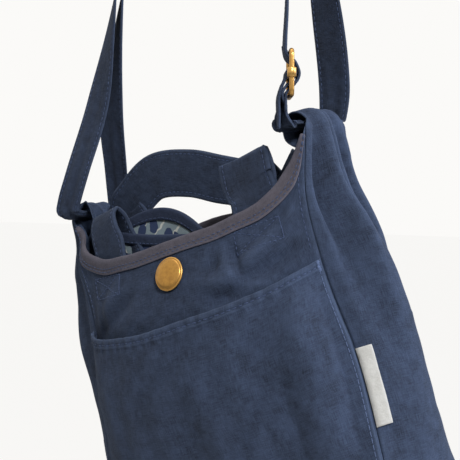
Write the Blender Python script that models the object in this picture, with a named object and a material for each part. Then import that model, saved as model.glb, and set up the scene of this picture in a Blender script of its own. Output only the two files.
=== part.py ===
"""Two-way shoulder bag in washed cotton canvas, hanging by its doubled shoulder strap.

Lengths are millimetres. The body is modelled in its own frame: X to the right, Y to the back,
Z up, zero at the height of the snap. The strap has slipped to one side, so the empty
"leaning_body" turns that frame by LEAN about Y. The origin is the highest point of the strap.
"""

import math

import bmesh
import bpy
import numpy as np

MM = 0.001

# Cloth and clearances
CANVAS = 1.4
CLEAR = 0.3
SEAM_GAP = 0.4

# How the bag hangs
LEAN = math.radians(18.0)
HOOK_X = 4.0
HOOK_Z = 400.0
HOOK_RADIUS = 22.0

# Heights of the body
BASE_Z = -150.0
LOWER_Z = -66.0
POCKET_CORNER_Z = -14.0
WAIST_Z = 20.0
SEAM_TOP_Z = 54.0
FRONT_RIM_Z = 17.5
BACK_RIM_Z = 28.0
BASE_ROUND = 12.0

# Half widths and half depths at the four side seams
SEAM_WIDTH_BASE = 92.0
SEAM_WIDTH_LOWER = 86.0
SEAM_WIDTH_WAIST = 79.0
SEAM_WIDTH_TOP = 91.0
SEAM_DEPTH_BASE = 40.0
SEAM_DEPTH_LOWER = 25.0
SEAM_DEPTH_TOP = 21.0

# How far the panels belly out
FRONT_BELLY_BASE = 46.0
FRONT_BELLY_LOWER = 55.0
FRONT_BELLY_SNAP = 44.0
FRONT_BELLY_RIM = 38.0
FRONT_BELLY_TOP = 30.0
BACK_BELLY_BASE = 42.0
BACK_BELLY_LOWER = 38.0
BACK_BELLY_SNAP = 15.0
BACK_BELLY_RIM = 4.0
BACK_BELLY_TOP = 10.0
BELLY_POWER = 2.2
SIDE_SWELL_BASE = 10.0
SIDE_SWELL_LOWER = 23.0
SIDE_SWELL_POCKET = 27.0
SIDE_SWELL_WAIST = 15.0
SIDE_SWELL_TOP = 5.0

# Folded top of each gusset, with the strap inside
TUNNEL_HALF_WIDTH = 10.0
TUNNEL_SHARE = 0.86
FLAP_TOP_SHARE = 0.6
TUNNEL_RISE = 10.5
TUNNEL_STRAP_HEIGHT = 3.6
FLAP_LENGTH = 22.0
FLAP_SHARE = 0.45
FLAP_STAND = 2.6

# Pleats that run down from the tunnels: (place across the gusset, width, depth)
PLEATS = ((0.30, 0.08, 6.0), (0.55, 0.09, 5.0), (0.78, 0.08, 4.0))
PLEAT_FOOT_Z = -45.0
PLEAT_DEEP_Z = 5.0

# Rim binding, pocket and label
BINDING = 0.8
BINDING_LEG = 7.6
BINDING_CLEAR = 0.45
BINDING_END = 0.985
POCKET_DIP = 15.0
POCKET_STAND = 0.5
POCKET_SLACK = 9.0
POCKET_HEM = 11.0
POCKET_HEM_EXTRA = 0.8
POCKET_FOOT_Z = -125.0
LABEL_TOP_Z = -64.0
LABEL_LENGTH = 40.0
LABEL_WIDTH = 8.5
LABEL_THICK = 0.7
LABEL_STAND = 0.5
LABEL_ACROSS = (0.02, 0.15)

# Handles
HANDLE_WIDTH = 28.0
HANDLE_THICK = 2.4
HANDLE_X = 53.0
HANDLE_SEWN = 28.0
HANDLE_STAND = 0.8
FRONT_HANDLE_FOLD_Z = 49.0
BACK_HANDLE_TOP_Z = 66.0
BACK_HANDLE_SWAY = -28.0

# Shoulder strap
STRAP_WIDTH = 25.0
STRAP_THICK = 1.4
TUNNEL_STRAP_WIDTH = 14.0
TUNNEL_STRAP_THICK = 2.6
STRAP_TAIL = 8.0
STRAP_SEWN_END = 17.0

# Slider on the strap
SLIDER_PLACE = (62.5, -24.5, 106.0)
SLIDER_TURN = math.radians(-56.0)
SLIDER_WIRE = 1.3
SLIDER_HALF_HEIGHT = 11.2
SLIDER_INNER_WIDTH = 28.0
SLIDER_CORNER = 3.0
SLIDER_BAR_RADIUS = 1.3
SLIDER_SLEEVE_HEIGHT = 4.6
SLIDER_SLEEVE_WALL = 0.9
SLIDER_SLEEVE_CLEAR = 0.15

# Snap fastener
CAP_RADIUS = 9.5
CAP_HEIGHT = 2.6
CAP_EDGE = 0.9
SNAP_STAND = 0.9
SHANK_RADIUS = 1.9
SHANK_BORE = 0.5
SOCKET_RADIUS = 7.0
SOCKET_HEIGHT = 3.2
SOCKET_WALL = 1.6
STUD_RADIUS = 3.4
STUD_HEIGHT = 3.2
STUD_FLANGE = 6.5
STUD_FLANGE_HEIGHT = 0.9
SNAP_SIDES = 18

# Inner pouch for a phone
POUCH_HALF_WIDTH = 38.0
POUCH_HEIGHT = 88.0
POUCH_X = -27.0
POUCH_TOP_Z = 29.0
POUCH_ARCH = 13.0
POUCH_OPEN = 8.0
POUCH_CANVAS = 1.2
POUCH_BINDING_LEG = 5.0
POUCH_SIDES = 24

COLUMNS = (0.0, 0.16, 0.32, 0.47, 0.61, 0.73, 0.83, 0.91, 0.96, 1.0)
WALL_ROWS = 9
GUSSET_COLUMNS = 12


def profile(*points):
    """Smooth curve through (place, value) points, as a function of place."""
    at, value = (np.array(column, float) for column in zip(*points))
    slope = np.gradient(value, at)

    def read(place):
        place = min(max(place, at[0]), at[-1])
        i = min(max(int(np.searchsorted(at, place)) - 1, 0), len(at) - 2)
        span = at[i + 1] - at[i]
        t = (place - at[i]) / span
        start = (2 * t**3 - 3 * t**2 + 1) * value[i] + (t**3 - 2 * t**2 + t) * span * slope[i]
        end = (3 * t**2 - 2 * t**3) * value[i + 1] + (t**3 - t**2) * span * slope[i + 1]
        return float(start + end)

    return read


def ease(low, high, value):
    """0 below low and 1 above high, with a smooth rise between."""
    t = min(max((value - low) / (high - low), 0.0), 1.0)
    return t * t * (3 - 2 * t)


def unit(vector):
    vector = np.asarray(vector, float)
    return vector / np.linalg.norm(vector)


seam_width = profile(
    (BASE_Z, SEAM_WIDTH_BASE),
    (LOWER_Z, SEAM_WIDTH_LOWER),
    (POCKET_CORNER_Z, SEAM_WIDTH_WAIST),
    (WAIST_Z, SEAM_WIDTH_WAIST + 2.0),
    (SEAM_TOP_Z, SEAM_WIDTH_TOP),
)
seam_depth = profile((BASE_Z, SEAM_DEPTH_BASE), (LOWER_Z, SEAM_DEPTH_LOWER), (SEAM_TOP_Z, SEAM_DEPTH_TOP))
front_belly = profile(
    (BASE_Z, FRONT_BELLY_BASE),
    (LOWER_Z, FRONT_BELLY_LOWER),
    (0.0, FRONT_BELLY_SNAP),
    (FRONT_RIM_Z, FRONT_BELLY_RIM),
    (SEAM_TOP_Z, FRONT_BELLY_TOP),
)
back_belly = profile(
    (BASE_Z, BACK_BELLY_BASE),
    (LOWER_Z, BACK_BELLY_LOWER),
    (0.0, BACK_BELLY_SNAP),
    (BACK_RIM_Z, BACK_BELLY_RIM),
    (SEAM_TOP_Z, BACK_BELLY_TOP),
)
side_swell = profile(
    (BASE_Z, SIDE_SWELL_BASE),
    (LOWER_Z, SIDE_SWELL_LOWER),
    (POCKET_CORNER_Z, SIDE_SWELL_POCKET),
    (WAIST_Z, SIDE_SWELL_WAIST),
    (SEAM_TOP_Z, SIDE_SWELL_TOP),
)
pleat_depth = profile(
    (PLEAT_FOOT_Z, 0.0),
    (PLEAT_DEEP_Z, 1.0),
    (SEAM_TOP_Z - FLAP_LENGTH, 0.35),
    (SEAM_TOP_Z, 0.1),
)
front_rise = profile((0.0, 0.0), (0.45, 0.03), (0.72, 0.16), (0.86, 0.38), (0.95, 0.68), (1.0, 1.0))
back_rise = profile((0.0, 0.0), (0.45, 0.06), (0.62, 0.4), (0.8, 0.85), (1.0, 1.0))


def front_rim(u):
    """Height of the front rim: level in the middle, climbing to the tunnels at the sides."""
    return FRONT_RIM_Z + (SEAM_TOP_Z - FRONT_RIM_Z) * front_rise(abs(u))


def back_rim(u):
    return BACK_RIM_Z + (SEAM_TOP_Z - BACK_RIM_Z) * back_rise(abs(u))


def pocket_rim(u):
    return POCKET_CORNER_Z - POCKET_DIP * (1 - abs(u) ** 2.4)


def panel_point(u, z, inset, front):
    """Point of the front or back panel: u is -1 at the left seam and 1 at the right one."""
    depth = seam_depth(z)
    belly = front_belly(z) if front else back_belly(z)
    out = depth + (belly - depth) * (1 - abs(u) ** BELLY_POWER)
    x = u * seam_width(z) * (1 - inset / (SEAM_WIDTH_BASE + SIDE_SWELL_BASE))
    y = (-out if front else out) * (1 - inset / FRONT_BELLY_BASE)
    return np.array((x, y, z))


def gusset_point(side, w, z, inset=0.0, sunk=0.0):
    """Point of a gusset: w is 0 at the front seam and 1 at the back one, sunk moves it inward."""
    depth = seam_depth(z)
    pleats = sum(deep * math.exp(-(((w - place) / wide) ** 2)) for place, wide, deep in PLEATS)
    out = seam_width(z) + side_swell(z) * 4 * w * (1 - w) - pleats * pleat_depth(z) - sunk
    x = side * out * (1 - inset / (SEAM_WIDTH_BASE + SIDE_SWELL_BASE))
    y = (2 * w - 1) * depth * (1 - inset / FRONT_BELLY_BASE)
    return np.array((x, y, z))


def wall_rows(top, last):
    """(height, inset) of a wall's rows: a quarter round under the base, then up to the rim."""
    turned = [math.radians(a) for a in (0.0, 35.0, 65.0)]
    under = [(BASE_Z + BASE_ROUND * (1 - math.cos(a)), BASE_ROUND * (1 - math.sin(a))) for a in turned]
    straight = np.linspace(BASE_Z + BASE_ROUND, top - last, WALL_ROWS)
    return under + [(float(z), 0.0) for z in straight] + [(top, 0.0)]


def grid_normals(grid, outside):
    """Unit normals of a grid of points, turned so that the middle one agrees with outside."""
    normals = np.cross(np.gradient(grid, axis=1), np.gradient(grid, axis=0))
    normals /= np.linalg.norm(normals, axis=2, keepdims=True)
    rows, columns = grid.shape[:2]
    facing = np.dot(normals[rows // 3, columns // 2], outside)
    return normals if facing > 0 else -normals


def plain_finish(name, colour, roughness=0.9, metallic=0.0):
    material = bpy.data.materials.new(name)
    material.use_nodes = True
    shader = material.node_tree.nodes["Principled BSDF"]
    shader.inputs["Base Color"].default_value = (*colour, 1.0)
    shader.inputs["Roughness"].default_value = roughness
    shader.inputs["Metallic"].default_value = metallic
    return material


def finish_mesh(bm, name, material, parent, smooth_angle=35.0):
    """Turns a bmesh in millimetres into a named object in metres."""
    bmesh.ops.triangulate(bm, faces=bm.faces)
    bmesh.ops.recalc_face_normals(bm, faces=bm.faces)
    for vertex in bm.verts:
        vertex.co *= MM
    mesh = bpy.data.meshes.new(name)
    bm.to_mesh(mesh)
    bm.free()
    mesh.shade_smooth()
    mesh.set_sharp_from_angle(angle=math.radians(smooth_angle))
    mesh.materials.append(material)
    piece = bpy.data.objects.new(name, mesh)
    bpy.context.scene.collection.objects.link(piece)
    piece.parent = parent
    return piece


def sheet_solid(name, grid, normals, thickness, material, parent):
    """Closed sheet of cloth: a grid of points given a thickness along its normals."""
    rows, columns = grid.shape[:2]
    half = np.broadcast_to(np.asarray(thickness, float), (rows, columns))[..., None] / 2
    bm = bmesh.new()
    outer, inner = ([[bm.verts.new(p) for p in row] for row in grid + normals * half * s] for s in (1, -1))
    for i in range(rows - 1):
        for j in range(columns - 1):
            for layer in (outer, inner):
                bm.faces.new((layer[i][j], layer[i][j + 1], layer[i + 1][j + 1], layer[i + 1][j]))
        for j in (0, columns - 1):
            bm.faces.new((outer[i][j], outer[i + 1][j], inner[i + 1][j], inner[i][j]))
    for j in range(columns - 1):
        for i in (0, rows - 1):
            bm.faces.new((outer[i][j], outer[i][j + 1], inner[i][j + 1], inner[i][j]))
    return finish_mesh(bm, name, material, parent)


def swept_solid(name, sections, material, parent, closed=False):
    """Solid through a row of outlines with the same number of points, capped or run in a ring."""
    bm = bmesh.new()
    loops = [[bm.verts.new(p) for p in section] for section in sections]
    pairs = list(zip(loops, loops[1:]))
    if closed:
        pairs.append((loops[-1], loops[0]))
    else:
        bm.faces.new(loops[0])
        bm.faces.new(loops[-1])
    for a, b in pairs:
        for i in range(len(a)):
            j = (i + 1) % len(a)
            bm.faces.new((a[i], a[j], b[j], b[i]))
    return finish_mesh(bm, name, material, parent)


def spline(points, steps):
    """Rows of numbers on a smooth curve through the given rows, with steps between each pair."""
    rows = [np.array(p, float) for p in points]
    padded = [2 * rows[0] - rows[1], *rows, 2 * rows[-1] - rows[-2]]
    curve = []
    for a, b, c, d in zip(padded, padded[1:], padded[2:], padded[3:]):
        for k in range(steps):
            t = k / steps
            cubic = (3 * b - a - 3 * c + d) * t**3
            curve.append(0.5 * (2 * b + (c - a) * t + (2 * a - 5 * b + 4 * c - d) * t**2 + cubic))
    return [*curve, rows[-1]]


def band_sections(stations):
    """Rectangular sections of a flat band. A station is x, y, z, width direction, width, thickness."""
    table = np.array(stations)
    sections = []
    for row, tangent in zip(table, np.gradient(table[:, :3], axis=0)):
        tangent = unit(tangent)
        across = unit(row[3:6] - tangent * np.dot(row[3:6], tangent))
        face = np.cross(tangent, across)
        wide, deep = across * row[6] / 2, face * row[7] / 2
        sections.append([row[:3] + wide * i + deep * j for i, j in ((1, 1), (-1, 1), (-1, -1), (1, -1))])
    return sections


def add_body(finish):
    """Front and back panels, gussets and base, cut apart at the seams by SEAM_GAP."""
    last = BINDING_LEG + 1.5
    us = [-u for u in reversed(COLUMNS[1:])] + list(COLUMNS)
    panels, gussets = {}, {}
    for front, rim in ((True, front_rim), (False, back_rim)):
        grid = [[panel_point(u, z, inset, front) for z, inset in wall_rows(rim(u), last)] for u in us]
        grid = np.array(grid).transpose(1, 0, 2)
        panels[front] = grid, grid_normals(grid, (0, -1 if front else 1, 0))
    for side in (-1, 1):
        grid = gusset_grid(side, wall_rows(SEAM_TOP_Z, last))
        gussets[side] = grid, grid_normals(grid, (side, 0, 0))
    seam_rows = panels[True][0].shape[0]
    for side in (-1, 1):
        for front in (True, False):
            close_seam(panels[front], gussets[side], -1 if side > 0 else 0, 0 if front else -1, seam_rows)
    for name, front in (("front_panel", True), ("back_panel", False)):
        sheet_solid(name, *panels[front], CANVAS, finish(name), leaning_body)
    for name, side in (("gusset_left", -1), ("gusset_right", 1)):
        sheet_solid(name, *gussets[side], CANVAS, finish(name), leaning_body)
    add_base(us, finish("base_panel"))


def close_seam(panel, gusset, panel_column, gusset_column, rows):
    """Gives both sides of a seam the same edge direction and backs each off by half the gap."""
    edges = []
    for (grid, normals), column in ((panel, panel_column), (gusset, gusset_column)):
        neighbour = 1 if column == 0 else -2
        inward = grid[:rows, neighbour] - grid[:rows, column]
        inward = inward / np.linalg.norm(inward, axis=1, keepdims=True)
        edges.append((grid, normals, column, inward))
    shared = panel[1][:rows, panel_column] + gusset[1][:rows, gusset_column]
    shared /= np.linalg.norm(shared, axis=1, keepdims=True)
    for grid, normals, column, inward in edges:
        grid[:rows, column] += inward * SEAM_GAP / 2
        normals[:rows, column] = shared


def gusset_places():
    edge = 0.15
    return [0.0, *np.linspace(edge, 1 - edge, GUSSET_COLUMNS - 1), 1.0]


def gusset_grid(side, rows):
    """Gusset from the base up, over the strap, and down inside as the tunnel's sewn flap."""
    places = gusset_places()
    grid = [[gusset_point(side, w, z, inset) for w in places] for z, inset in rows]
    for angle in (25.0, 50.0, 75.0, 105.0, 130.0, 155.0, 180.0):
        a = math.radians(angle)
        narrow = TUNNEL_SHARE + (FLAP_TOP_SHARE - TUNNEL_SHARE) * angle / 180
        sunk = TUNNEL_HALF_WIDTH * (1 - math.cos(a))
        turned = [gusset_point(side, 0.5 + (w - 0.5) * narrow, SEAM_TOP_Z, 0.0, sunk) for w in places]
        grid.append([p + np.array((0, 0, TUNNEL_RISE * math.sin(a))) for p in turned])
    for share in (0.3, 0.6, 0.85, 1.0):
        z = SEAM_TOP_Z - FLAP_LENGTH * share
        sunk = 2 * TUNNEL_HALF_WIDTH + (FLAP_STAND - 2 * TUNNEL_HALF_WIDTH) * ease(0.0, 0.9, share)
        narrow = FLAP_TOP_SHARE + (FLAP_SHARE - FLAP_TOP_SHARE) * share
        grid.append([gusset_point(side, 0.5 + (w - 0.5) * narrow, z, 0.0, sunk) for w in places])
    return np.array(grid)


def add_base(us, material):
    """Flat base set between the rounded feet of the four walls."""
    places = gusset_places()
    ring = [panel_point(u, BASE_Z, BASE_ROUND, True) for u in us[:-1]]
    ring += [gusset_point(1, w, BASE_Z, BASE_ROUND) for w in places[:-1]]
    ring += [panel_point(-u, BASE_Z, BASE_ROUND, False) for u in us[:-1]]
    ring += [gusset_point(-1, w, BASE_Z, BASE_ROUND) for w in reversed(places[1:])]
    ring = np.array(ring)
    ahead = np.roll(ring, -1, axis=0) - np.roll(ring, 1, axis=0)
    inward = np.stack([-ahead[:, 1], ahead[:, 0], np.zeros(len(ring))], axis=1)
    ring += inward / np.linalg.norm(inward, axis=1, keepdims=True) * 1.5 * SEAM_GAP
    half = np.array((0, 0, CANVAS / 2))
    swept_solid("base_panel", [ring - half, ring + half], material, leaning_body)


def surface_frame(u, z, front):
    """Point of a panel and its outward normal."""
    here = panel_point(u, z, 0.0, front)
    along = unit(panel_point(u + 0.01, z, 0.0, front) - panel_point(u - 0.01, z, 0.0, front))
    up = unit(panel_point(u, z + 0.5, 0.0, front) - panel_point(u, z - 0.5, 0.0, front))
    normal = unit(np.cross(along, up) if front else np.cross(up, along))
    return here, normal


def tape_section(u, rim, front):
    """Section of the tape folded over a rim, its legs square to the rim and short at the seams."""
    here, normal = surface_frame(u, rim(u), front)
    step = 0.01 if u < 0 else -0.01
    tangent = unit(panel_point(u + step, rim(u + step), 0.0, front) - here)
    down = np.cross(normal, tangent)
    down = down if down[2] < 0 else -down
    leg = BINDING_LEG
    for _ in range(12):
        end = here + down * leg
        if abs(end[0]) < seam_width(end[2]) - 1.5:
            break
        leg *= 0.8
    foot, foot_normal = surface_frame(end[0] / seam_width(end[2]), end[2], front)
    near = CANVAS / 2 + BINDING_CLEAR
    far = near + BINDING
    edge, top = here - down * BINDING_CLEAR, here - down * (BINDING_CLEAR + BINDING)
    return [
        foot + foot_normal * far,
        top + normal * far,
        top - normal * far,
        foot - foot_normal * far,
        foot - foot_normal * near,
        edge - normal * near,
        edge + normal * near,
        foot + foot_normal * near,
    ]


def add_bindings(finish):
    us = [-u for u in reversed(COLUMNS[1:])] + list(COLUMNS)
    us[0], us[-1] = -BINDING_END, BINDING_END
    for name, front, rim in (("binding_front", True, front_rim), ("binding_back", False, back_rim)):
        sections = [tape_section(u, rim, front) for u in us]
        swept_solid(name, sections, finish(name), leaning_body)


def add_pocket(finish):
    """Slip pocket as wide as the front panel, slack at its hemmed mouth."""
    us = [-u for u in reversed(COLUMNS[1:])] + list(COLUMNS)
    us[0], us[-1] = -0.985, 0.985
    grid, lift = [], []
    for u in us:
        top = pocket_rim(u)
        rows = [(z, inset) for z, inset in wall_rows(top, POCKET_HEM) if inset == 0.0]
        grid.append([panel_point(u, z, inset, True) for z, inset in rows])
        lift.append([POCKET_SLACK * ease(POCKET_FOOT_Z, top, z) * (1 - u**4) for z, _ in rows])
    grid = np.array(grid).transpose(1, 0, 2)
    lift = np.array(lift).T
    thick = np.full(lift.shape, CANVAS)
    thick[-2:] += POCKET_HEM_EXTRA
    normals = grid_normals(grid, (0, -1, 0))
    grid = grid + normals * (CANVAS / 2 + POCKET_STAND + lift + thick / 2)[..., None]
    outward = grid_normals(grid, (0, -1, 0))
    sheet_solid("front_pocket", grid, outward, thick, finish("front_pocket"), leaning_body)


def add_label(finish):
    """Folded tape label that stands out of the right seam and lies along the gusset."""
    rows = []
    for z in np.linspace(LABEL_TOP_Z - LABEL_LENGTH, LABEL_TOP_Z, 5):
        start, end = (gusset_point(1, w, z) for w in LABEL_ACROSS)
        along = unit(end - start)
        rows.append([start, start + along * LABEL_WIDTH / 2, start + along * LABEL_WIDTH])
    grid = np.array(rows)
    normals = grid_normals(grid, (1, -1, 0))
    grid = grid + normals * (CANVAS / 2 + LABEL_STAND + LABEL_THICK / 2)
    sheet_solid("side_label", grid, normals, LABEL_THICK, finish("side_label"), leaning_body)


def handle_foot(side, front):
    """Stations of the sewn end of a handle, inside its panel, from the end up to the rim."""
    stations = []
    rim = front_rim if front else back_rim
    for share in (0.0, 0.5, 1.0):
        top = rim((HANDLE_X + (HANDLE_WIDTH / 2 if front else 0.0)) / seam_width(WAIST_Z))
        z = top - HANDLE_SEWN * (1 - share)
        middle, half = HANDLE_X / seam_width(z) * side, HANDLE_WIDTH / 2 / seam_width(z)
        line = [panel_point(middle + half * k / 2, z, 0.0, front) for k in range(-2, 3)]
        across = unit(line[-1] - line[0])
        up = unit(panel_point(middle, z + 1.0, 0.0, front) - line[2])
        inward = np.cross(up, across)
        inward = inward if (inward[1] > 0) == front else -inward
        chord = (line[0] + line[-1]) / 2
        bulge = max(float(np.dot(p - chord, inward)) for p in line)
        seat = CANVAS / 2 + BINDING_CLEAR + BINDING + HANDLE_STAND + HANDLE_THICK / 2
        stations.append((*(chord + inward * (bulge + seat)), *across, HANDLE_WIDTH, HANDLE_THICK))
    return stations


def add_handles(finish):
    """Two handles sewn inside the panels: the back one stands, the front one has flopped inside."""
    size = (HANDLE_WIDTH, HANDLE_THICK)
    left, right = handle_foot(-1, False), handle_foot(1, False)
    foot_z, y = left[-1][2], left[-1][1]
    top = BACK_HANDLE_TOP_Z
    arch = [
        (-HANDLE_X - 5, y, foot_z + 10, 1, 0, -0.25, *size),
        (-HANDLE_X + 3, y - 1, top - 7, 0.75, 0, -0.65, *size),
        (BACK_HANDLE_SWAY, y - 2, top, 0.05, 0, -1, *size),
        (BACK_HANDLE_SWAY + 24, y - 2, top - 3, -0.2, 0, -1, *size),
        (18, y - 2, top - 9, -0.4, 0, -0.9, *size),
        (HANDLE_X - 12, y - 3.2, top - 16, -0.75, 0, -0.65, *size),
    ]
    stations = [*left, *arch, *[(*s[:3], -s[3], -s[4], -s[5], *s[6:]) for s in reversed(right)]]
    sections = band_sections(spline(stations, 3))
    swept_solid("back_handle", sections, finish("back_handle"), leaning_body)
    left, right = handle_foot(-1, True), handle_foot(1, True)
    fold = FRONT_HANDLE_FOLD_Z
    y = left[-1][1]
    slack = [
        (-HANDLE_X, y + 1, fold - 12, 1, 0, 0, *size),
        (-HANDLE_X, y + 3, fold, 1, 0, 0, *size),
        (-HANDLE_X + 2, y + 4.6, fold - 12, 1, 0, 0, *size),
        (-HANDLE_X + 7, y + 2.5, fold - 32, 0.9, 0, 0.4, *size),
        (-HANDLE_X + 25, y - 2, fold - 50, 0.4, 0, 0.9, *size),
        (0, y - 6, fold - 54, 0, 0, 1, *size),
        (HANDLE_X - 25, y - 2, fold - 50, -0.4, 0, 0.9, *size),
        (HANDLE_X - 7, y + 2.5, fold - 32, -0.9, 0, 0.4, *size),
        (HANDLE_X - 2, y + 4.6, fold - 12, -1, 0, 0, *size),
        (HANDLE_X, y + 3, fold, -1, 0, 0, *size),
        (HANDLE_X, y + 1, fold - 12, -1, 0, 0, *size),
    ]
    stations = [*left, *slack, *[(*s[:3], -s[3], -s[4], -s[5], *s[6:]) for s in reversed(right)]]
    sections = band_sections(spline(stations, 3))
    swept_solid("front_handle", sections, finish("front_handle"), leaning_body)


def hang(point):
    """Point of the leaning body in the upright frame of the strap."""
    x, y, z = point
    c, s = math.cos(LEAN), math.sin(LEAN)
    return np.array((x * c - z * s, y, x * s + z * c))


def turn(angle):
    """Width direction of the strap, turned about the vertical."""
    a = math.radians(angle)
    return (math.cos(a), math.sin(a), 0.0)


def slider_axes():
    across = np.array((math.cos(SLIDER_TURN), math.sin(SLIDER_TURN), 0.0))
    up = np.array((0.0, 0.0, 1.0))
    return across, up, np.cross(up, across)


def threaded(points):
    """Strap stations at the slider from (distance off its plane, height) pairs."""
    across, up, off = slider_axes()
    return [
        (*(np.array(SLIDER_PLACE) + off * n + up * z), *across, STRAP_WIDTH, STRAP_THICK)
        for n, z in points
    ]


def tunnel_stations(side, backward):
    """Strap stations through a tunnel, gathered narrow, from front to back or back to front."""
    across = hang((1.0, 0.0, 0.0))
    size = (TUNNEL_STRAP_WIDTH, TUNNEL_STRAP_THICK)
    z = SEAM_TOP_Z + TUNNEL_STRAP_HEIGHT
    stations = []
    for w in (-0.03, 0.2, 0.5, 0.8, 1.03):
        place = gusset_point(side, w, SEAM_TOP_Z, 0.0, TUNNEL_HALF_WIDTH)
        place[2] = z
        stations.append((*hang(place), *across, *size))
    return stations if backward else stations[::-1]


def tunnel_bend(side, end, rise):
    """Where the strap turns up in front of or behind a tunnel, rise above the tunnel's strap."""
    w = 0.0 if end < 0 else 1.0
    place = gusset_point(side, w, SEAM_TOP_Z, 0.0, TUNNEL_HALF_WIDTH)
    place[2] = SEAM_TOP_Z + TUNNEL_STRAP_HEIGHT
    bends = ((4.6, 1.9, 15.0), (6.6, 6.2, 17.0)) if rise else ()
    return [(hang(place) + np.array((0, end * out, up)), width) for out, up, width in bends]


def strap_stations():
    """The whole strap: sewn end, slider, right tunnel, over the hook, left tunnel, hook, slider, tail."""
    loop = SLIDER_BAR_RADIUS + CLEAR + STRAP_THICK / 2
    lane = SLIDER_WIRE + CLEAR + STRAP_THICK / 2
    pitch = STRAP_THICK + CLEAR
    high = SLIDER_HALF_HEIGHT
    cross = (high - lane) * 0.8
    inner = cross - 1.5 * pitch
    sewn = threaded([
        (-lane - 2 * pitch, -high - STRAP_SEWN_END),
        (-lane - 2 * pitch, -high - 8),
        (-lane - 2 * pitch, -high - 1),
        (-lane - pitch, -high * 0.55),
        (-loop * 1.15, -high * 0.2),
        (-loop * 0.87, loop * 0.5),
        (0.0, loop),
        (loop * 0.87, loop * 0.5),
        (loop * 0.94, -loop * 0.4),
        (loop * 0.5, -inner * 0.62),
        (-loop * 0.3, -inner * 1.05),
        (-lane * 0.9 - pitch * 0.7, -high * 0.73),
        (-lane - pitch, -high - 0.5),
        (-lane - pitch, -high - 6),
    ])
    across_x = hang((1.0, 0.0, 0.0))
    right_front = [(*p, *across_x, w, 2.2) for p, w in reversed(tunnel_bend(1, -1, True))]
    right_back = [(*p, *across_x, w, 2.2) for p, w in tunnel_bend(1, 1, True)]
    left_back = [(*p, *across_x, w, 2.2) for p, w in reversed(tunnel_bend(-1, 1, True))]
    left_front = [(*p, *across_x, w, 2.2) for p, w in tunnel_bend(-1, -1, True)]
    flat = (STRAP_WIDTH, STRAP_THICK)
    x, top, r = HOOK_X, HOOK_Z, HOOK_RADIUS
    right_rise = [
        (60.0, 27.0, 108.0, *turn(-10), 22.0, 1.6),
        (57.5, 21.0, 150.0, *turn(-22), *flat),
        (50.0, 11.0, 220.0, *turn(-55), *flat),
        (38.0, 3.0, 300.0, *turn(-84), *flat),
    ]
    over_inner = [
        (x + r - 1, 0.0, top - r * 1.6, *turn(-90), *flat),
        (x + r * 0.72, 0.0, top - r * 0.55 - 3, *turn(-90), *flat),
        (x, 0.0, top - 3.4, *turn(-90), *flat),
        (x - r * 0.72, 0.0, top - r * 0.55 - 3, *turn(-90), *flat),
        (x - r + 1, 0.0, top - r * 1.6, *turn(-90), *flat),
    ]
    left_back_fall = [
        (-42.0, 1.6, 290.0, *turn(-86), *flat),
        (-62.0, 3.0, 210.0, *turn(-68), *flat),
        (-76.0, 4.6, 140.0, *turn(-40), *flat),
        (-85.0, 9.0, 92.0, *turn(-12), 22.0, 1.6),
        (-92.5, 22.0, 57.0, *turn(0), 18.0, 2.0),
    ]
    left_front_rise = [
        (-92.5, -22.0, 57.0, *turn(0), 18.0, 2.0),
        (-87.5, -2.0, 95.0, *turn(-12), 22.0, 1.6),
        (-79.2, 1.2, 140.0, *turn(-40), *flat),
        (-65.6, 1.0, 210.0, *turn(-68), *flat),
        (-46.0, 0.4, 290.0, *turn(-86), *flat),
    ]
    over_outer = [
        (x - r - 3, 0.0, top - r * 1.6, *turn(-90), *flat),
        (x - r * 0.78 - 1, 0.0, top - r * 0.5, *turn(-90), *flat),
        (x, 0.0, top, *turn(-90), *flat),
        (x + r * 0.78 + 1, 0.0, top - r * 0.5, *turn(-90), *flat),
        (x + r + 3, 0.0, top - r * 1.6, *turn(-90), *flat),
    ]
    front_fall = [
        (42.5, -3.0, 300.0, *turn(-84), *flat),
        (54.0, -12.0, 220.0, *turn(-72), *flat),
        (59.0, -22.0, 150.0, *turn(-58), *flat),
    ]
    passing = threaded([
        (-lane, high + 6),
        (-lane, high + 0.5),
        (-lane * 0.5, high * 0.73),
        (lane * 0.6, (high + loop) * 0.44),
        (loop + pitch * 0.8, loop * 0.85),
        (loop + pitch * 1.05, -loop * 0.4),
        (loop + pitch * 0.35, -cross * 0.6),
        (0.0, -cross),
        (-lane * 0.85, -high * 0.9),
        (-lane, -high - 1),
        (-lane, -high - STRAP_TAIL),
    ])
    return [
        *sewn, *right_front, *tunnel_stations(1, True), *right_back, *right_rise, *over_inner,
        *left_back_fall, *left_back, *tunnel_stations(-1, False), *left_front, *left_front_rise,
        *over_outer, *front_fall, *passing,
    ]


def add_strap(finish):
    sections = band_sections(spline(strap_stations(), 3))
    swept_solid("shoulder_strap", sections, finish("shoulder_strap"), hanging_strap)


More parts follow.
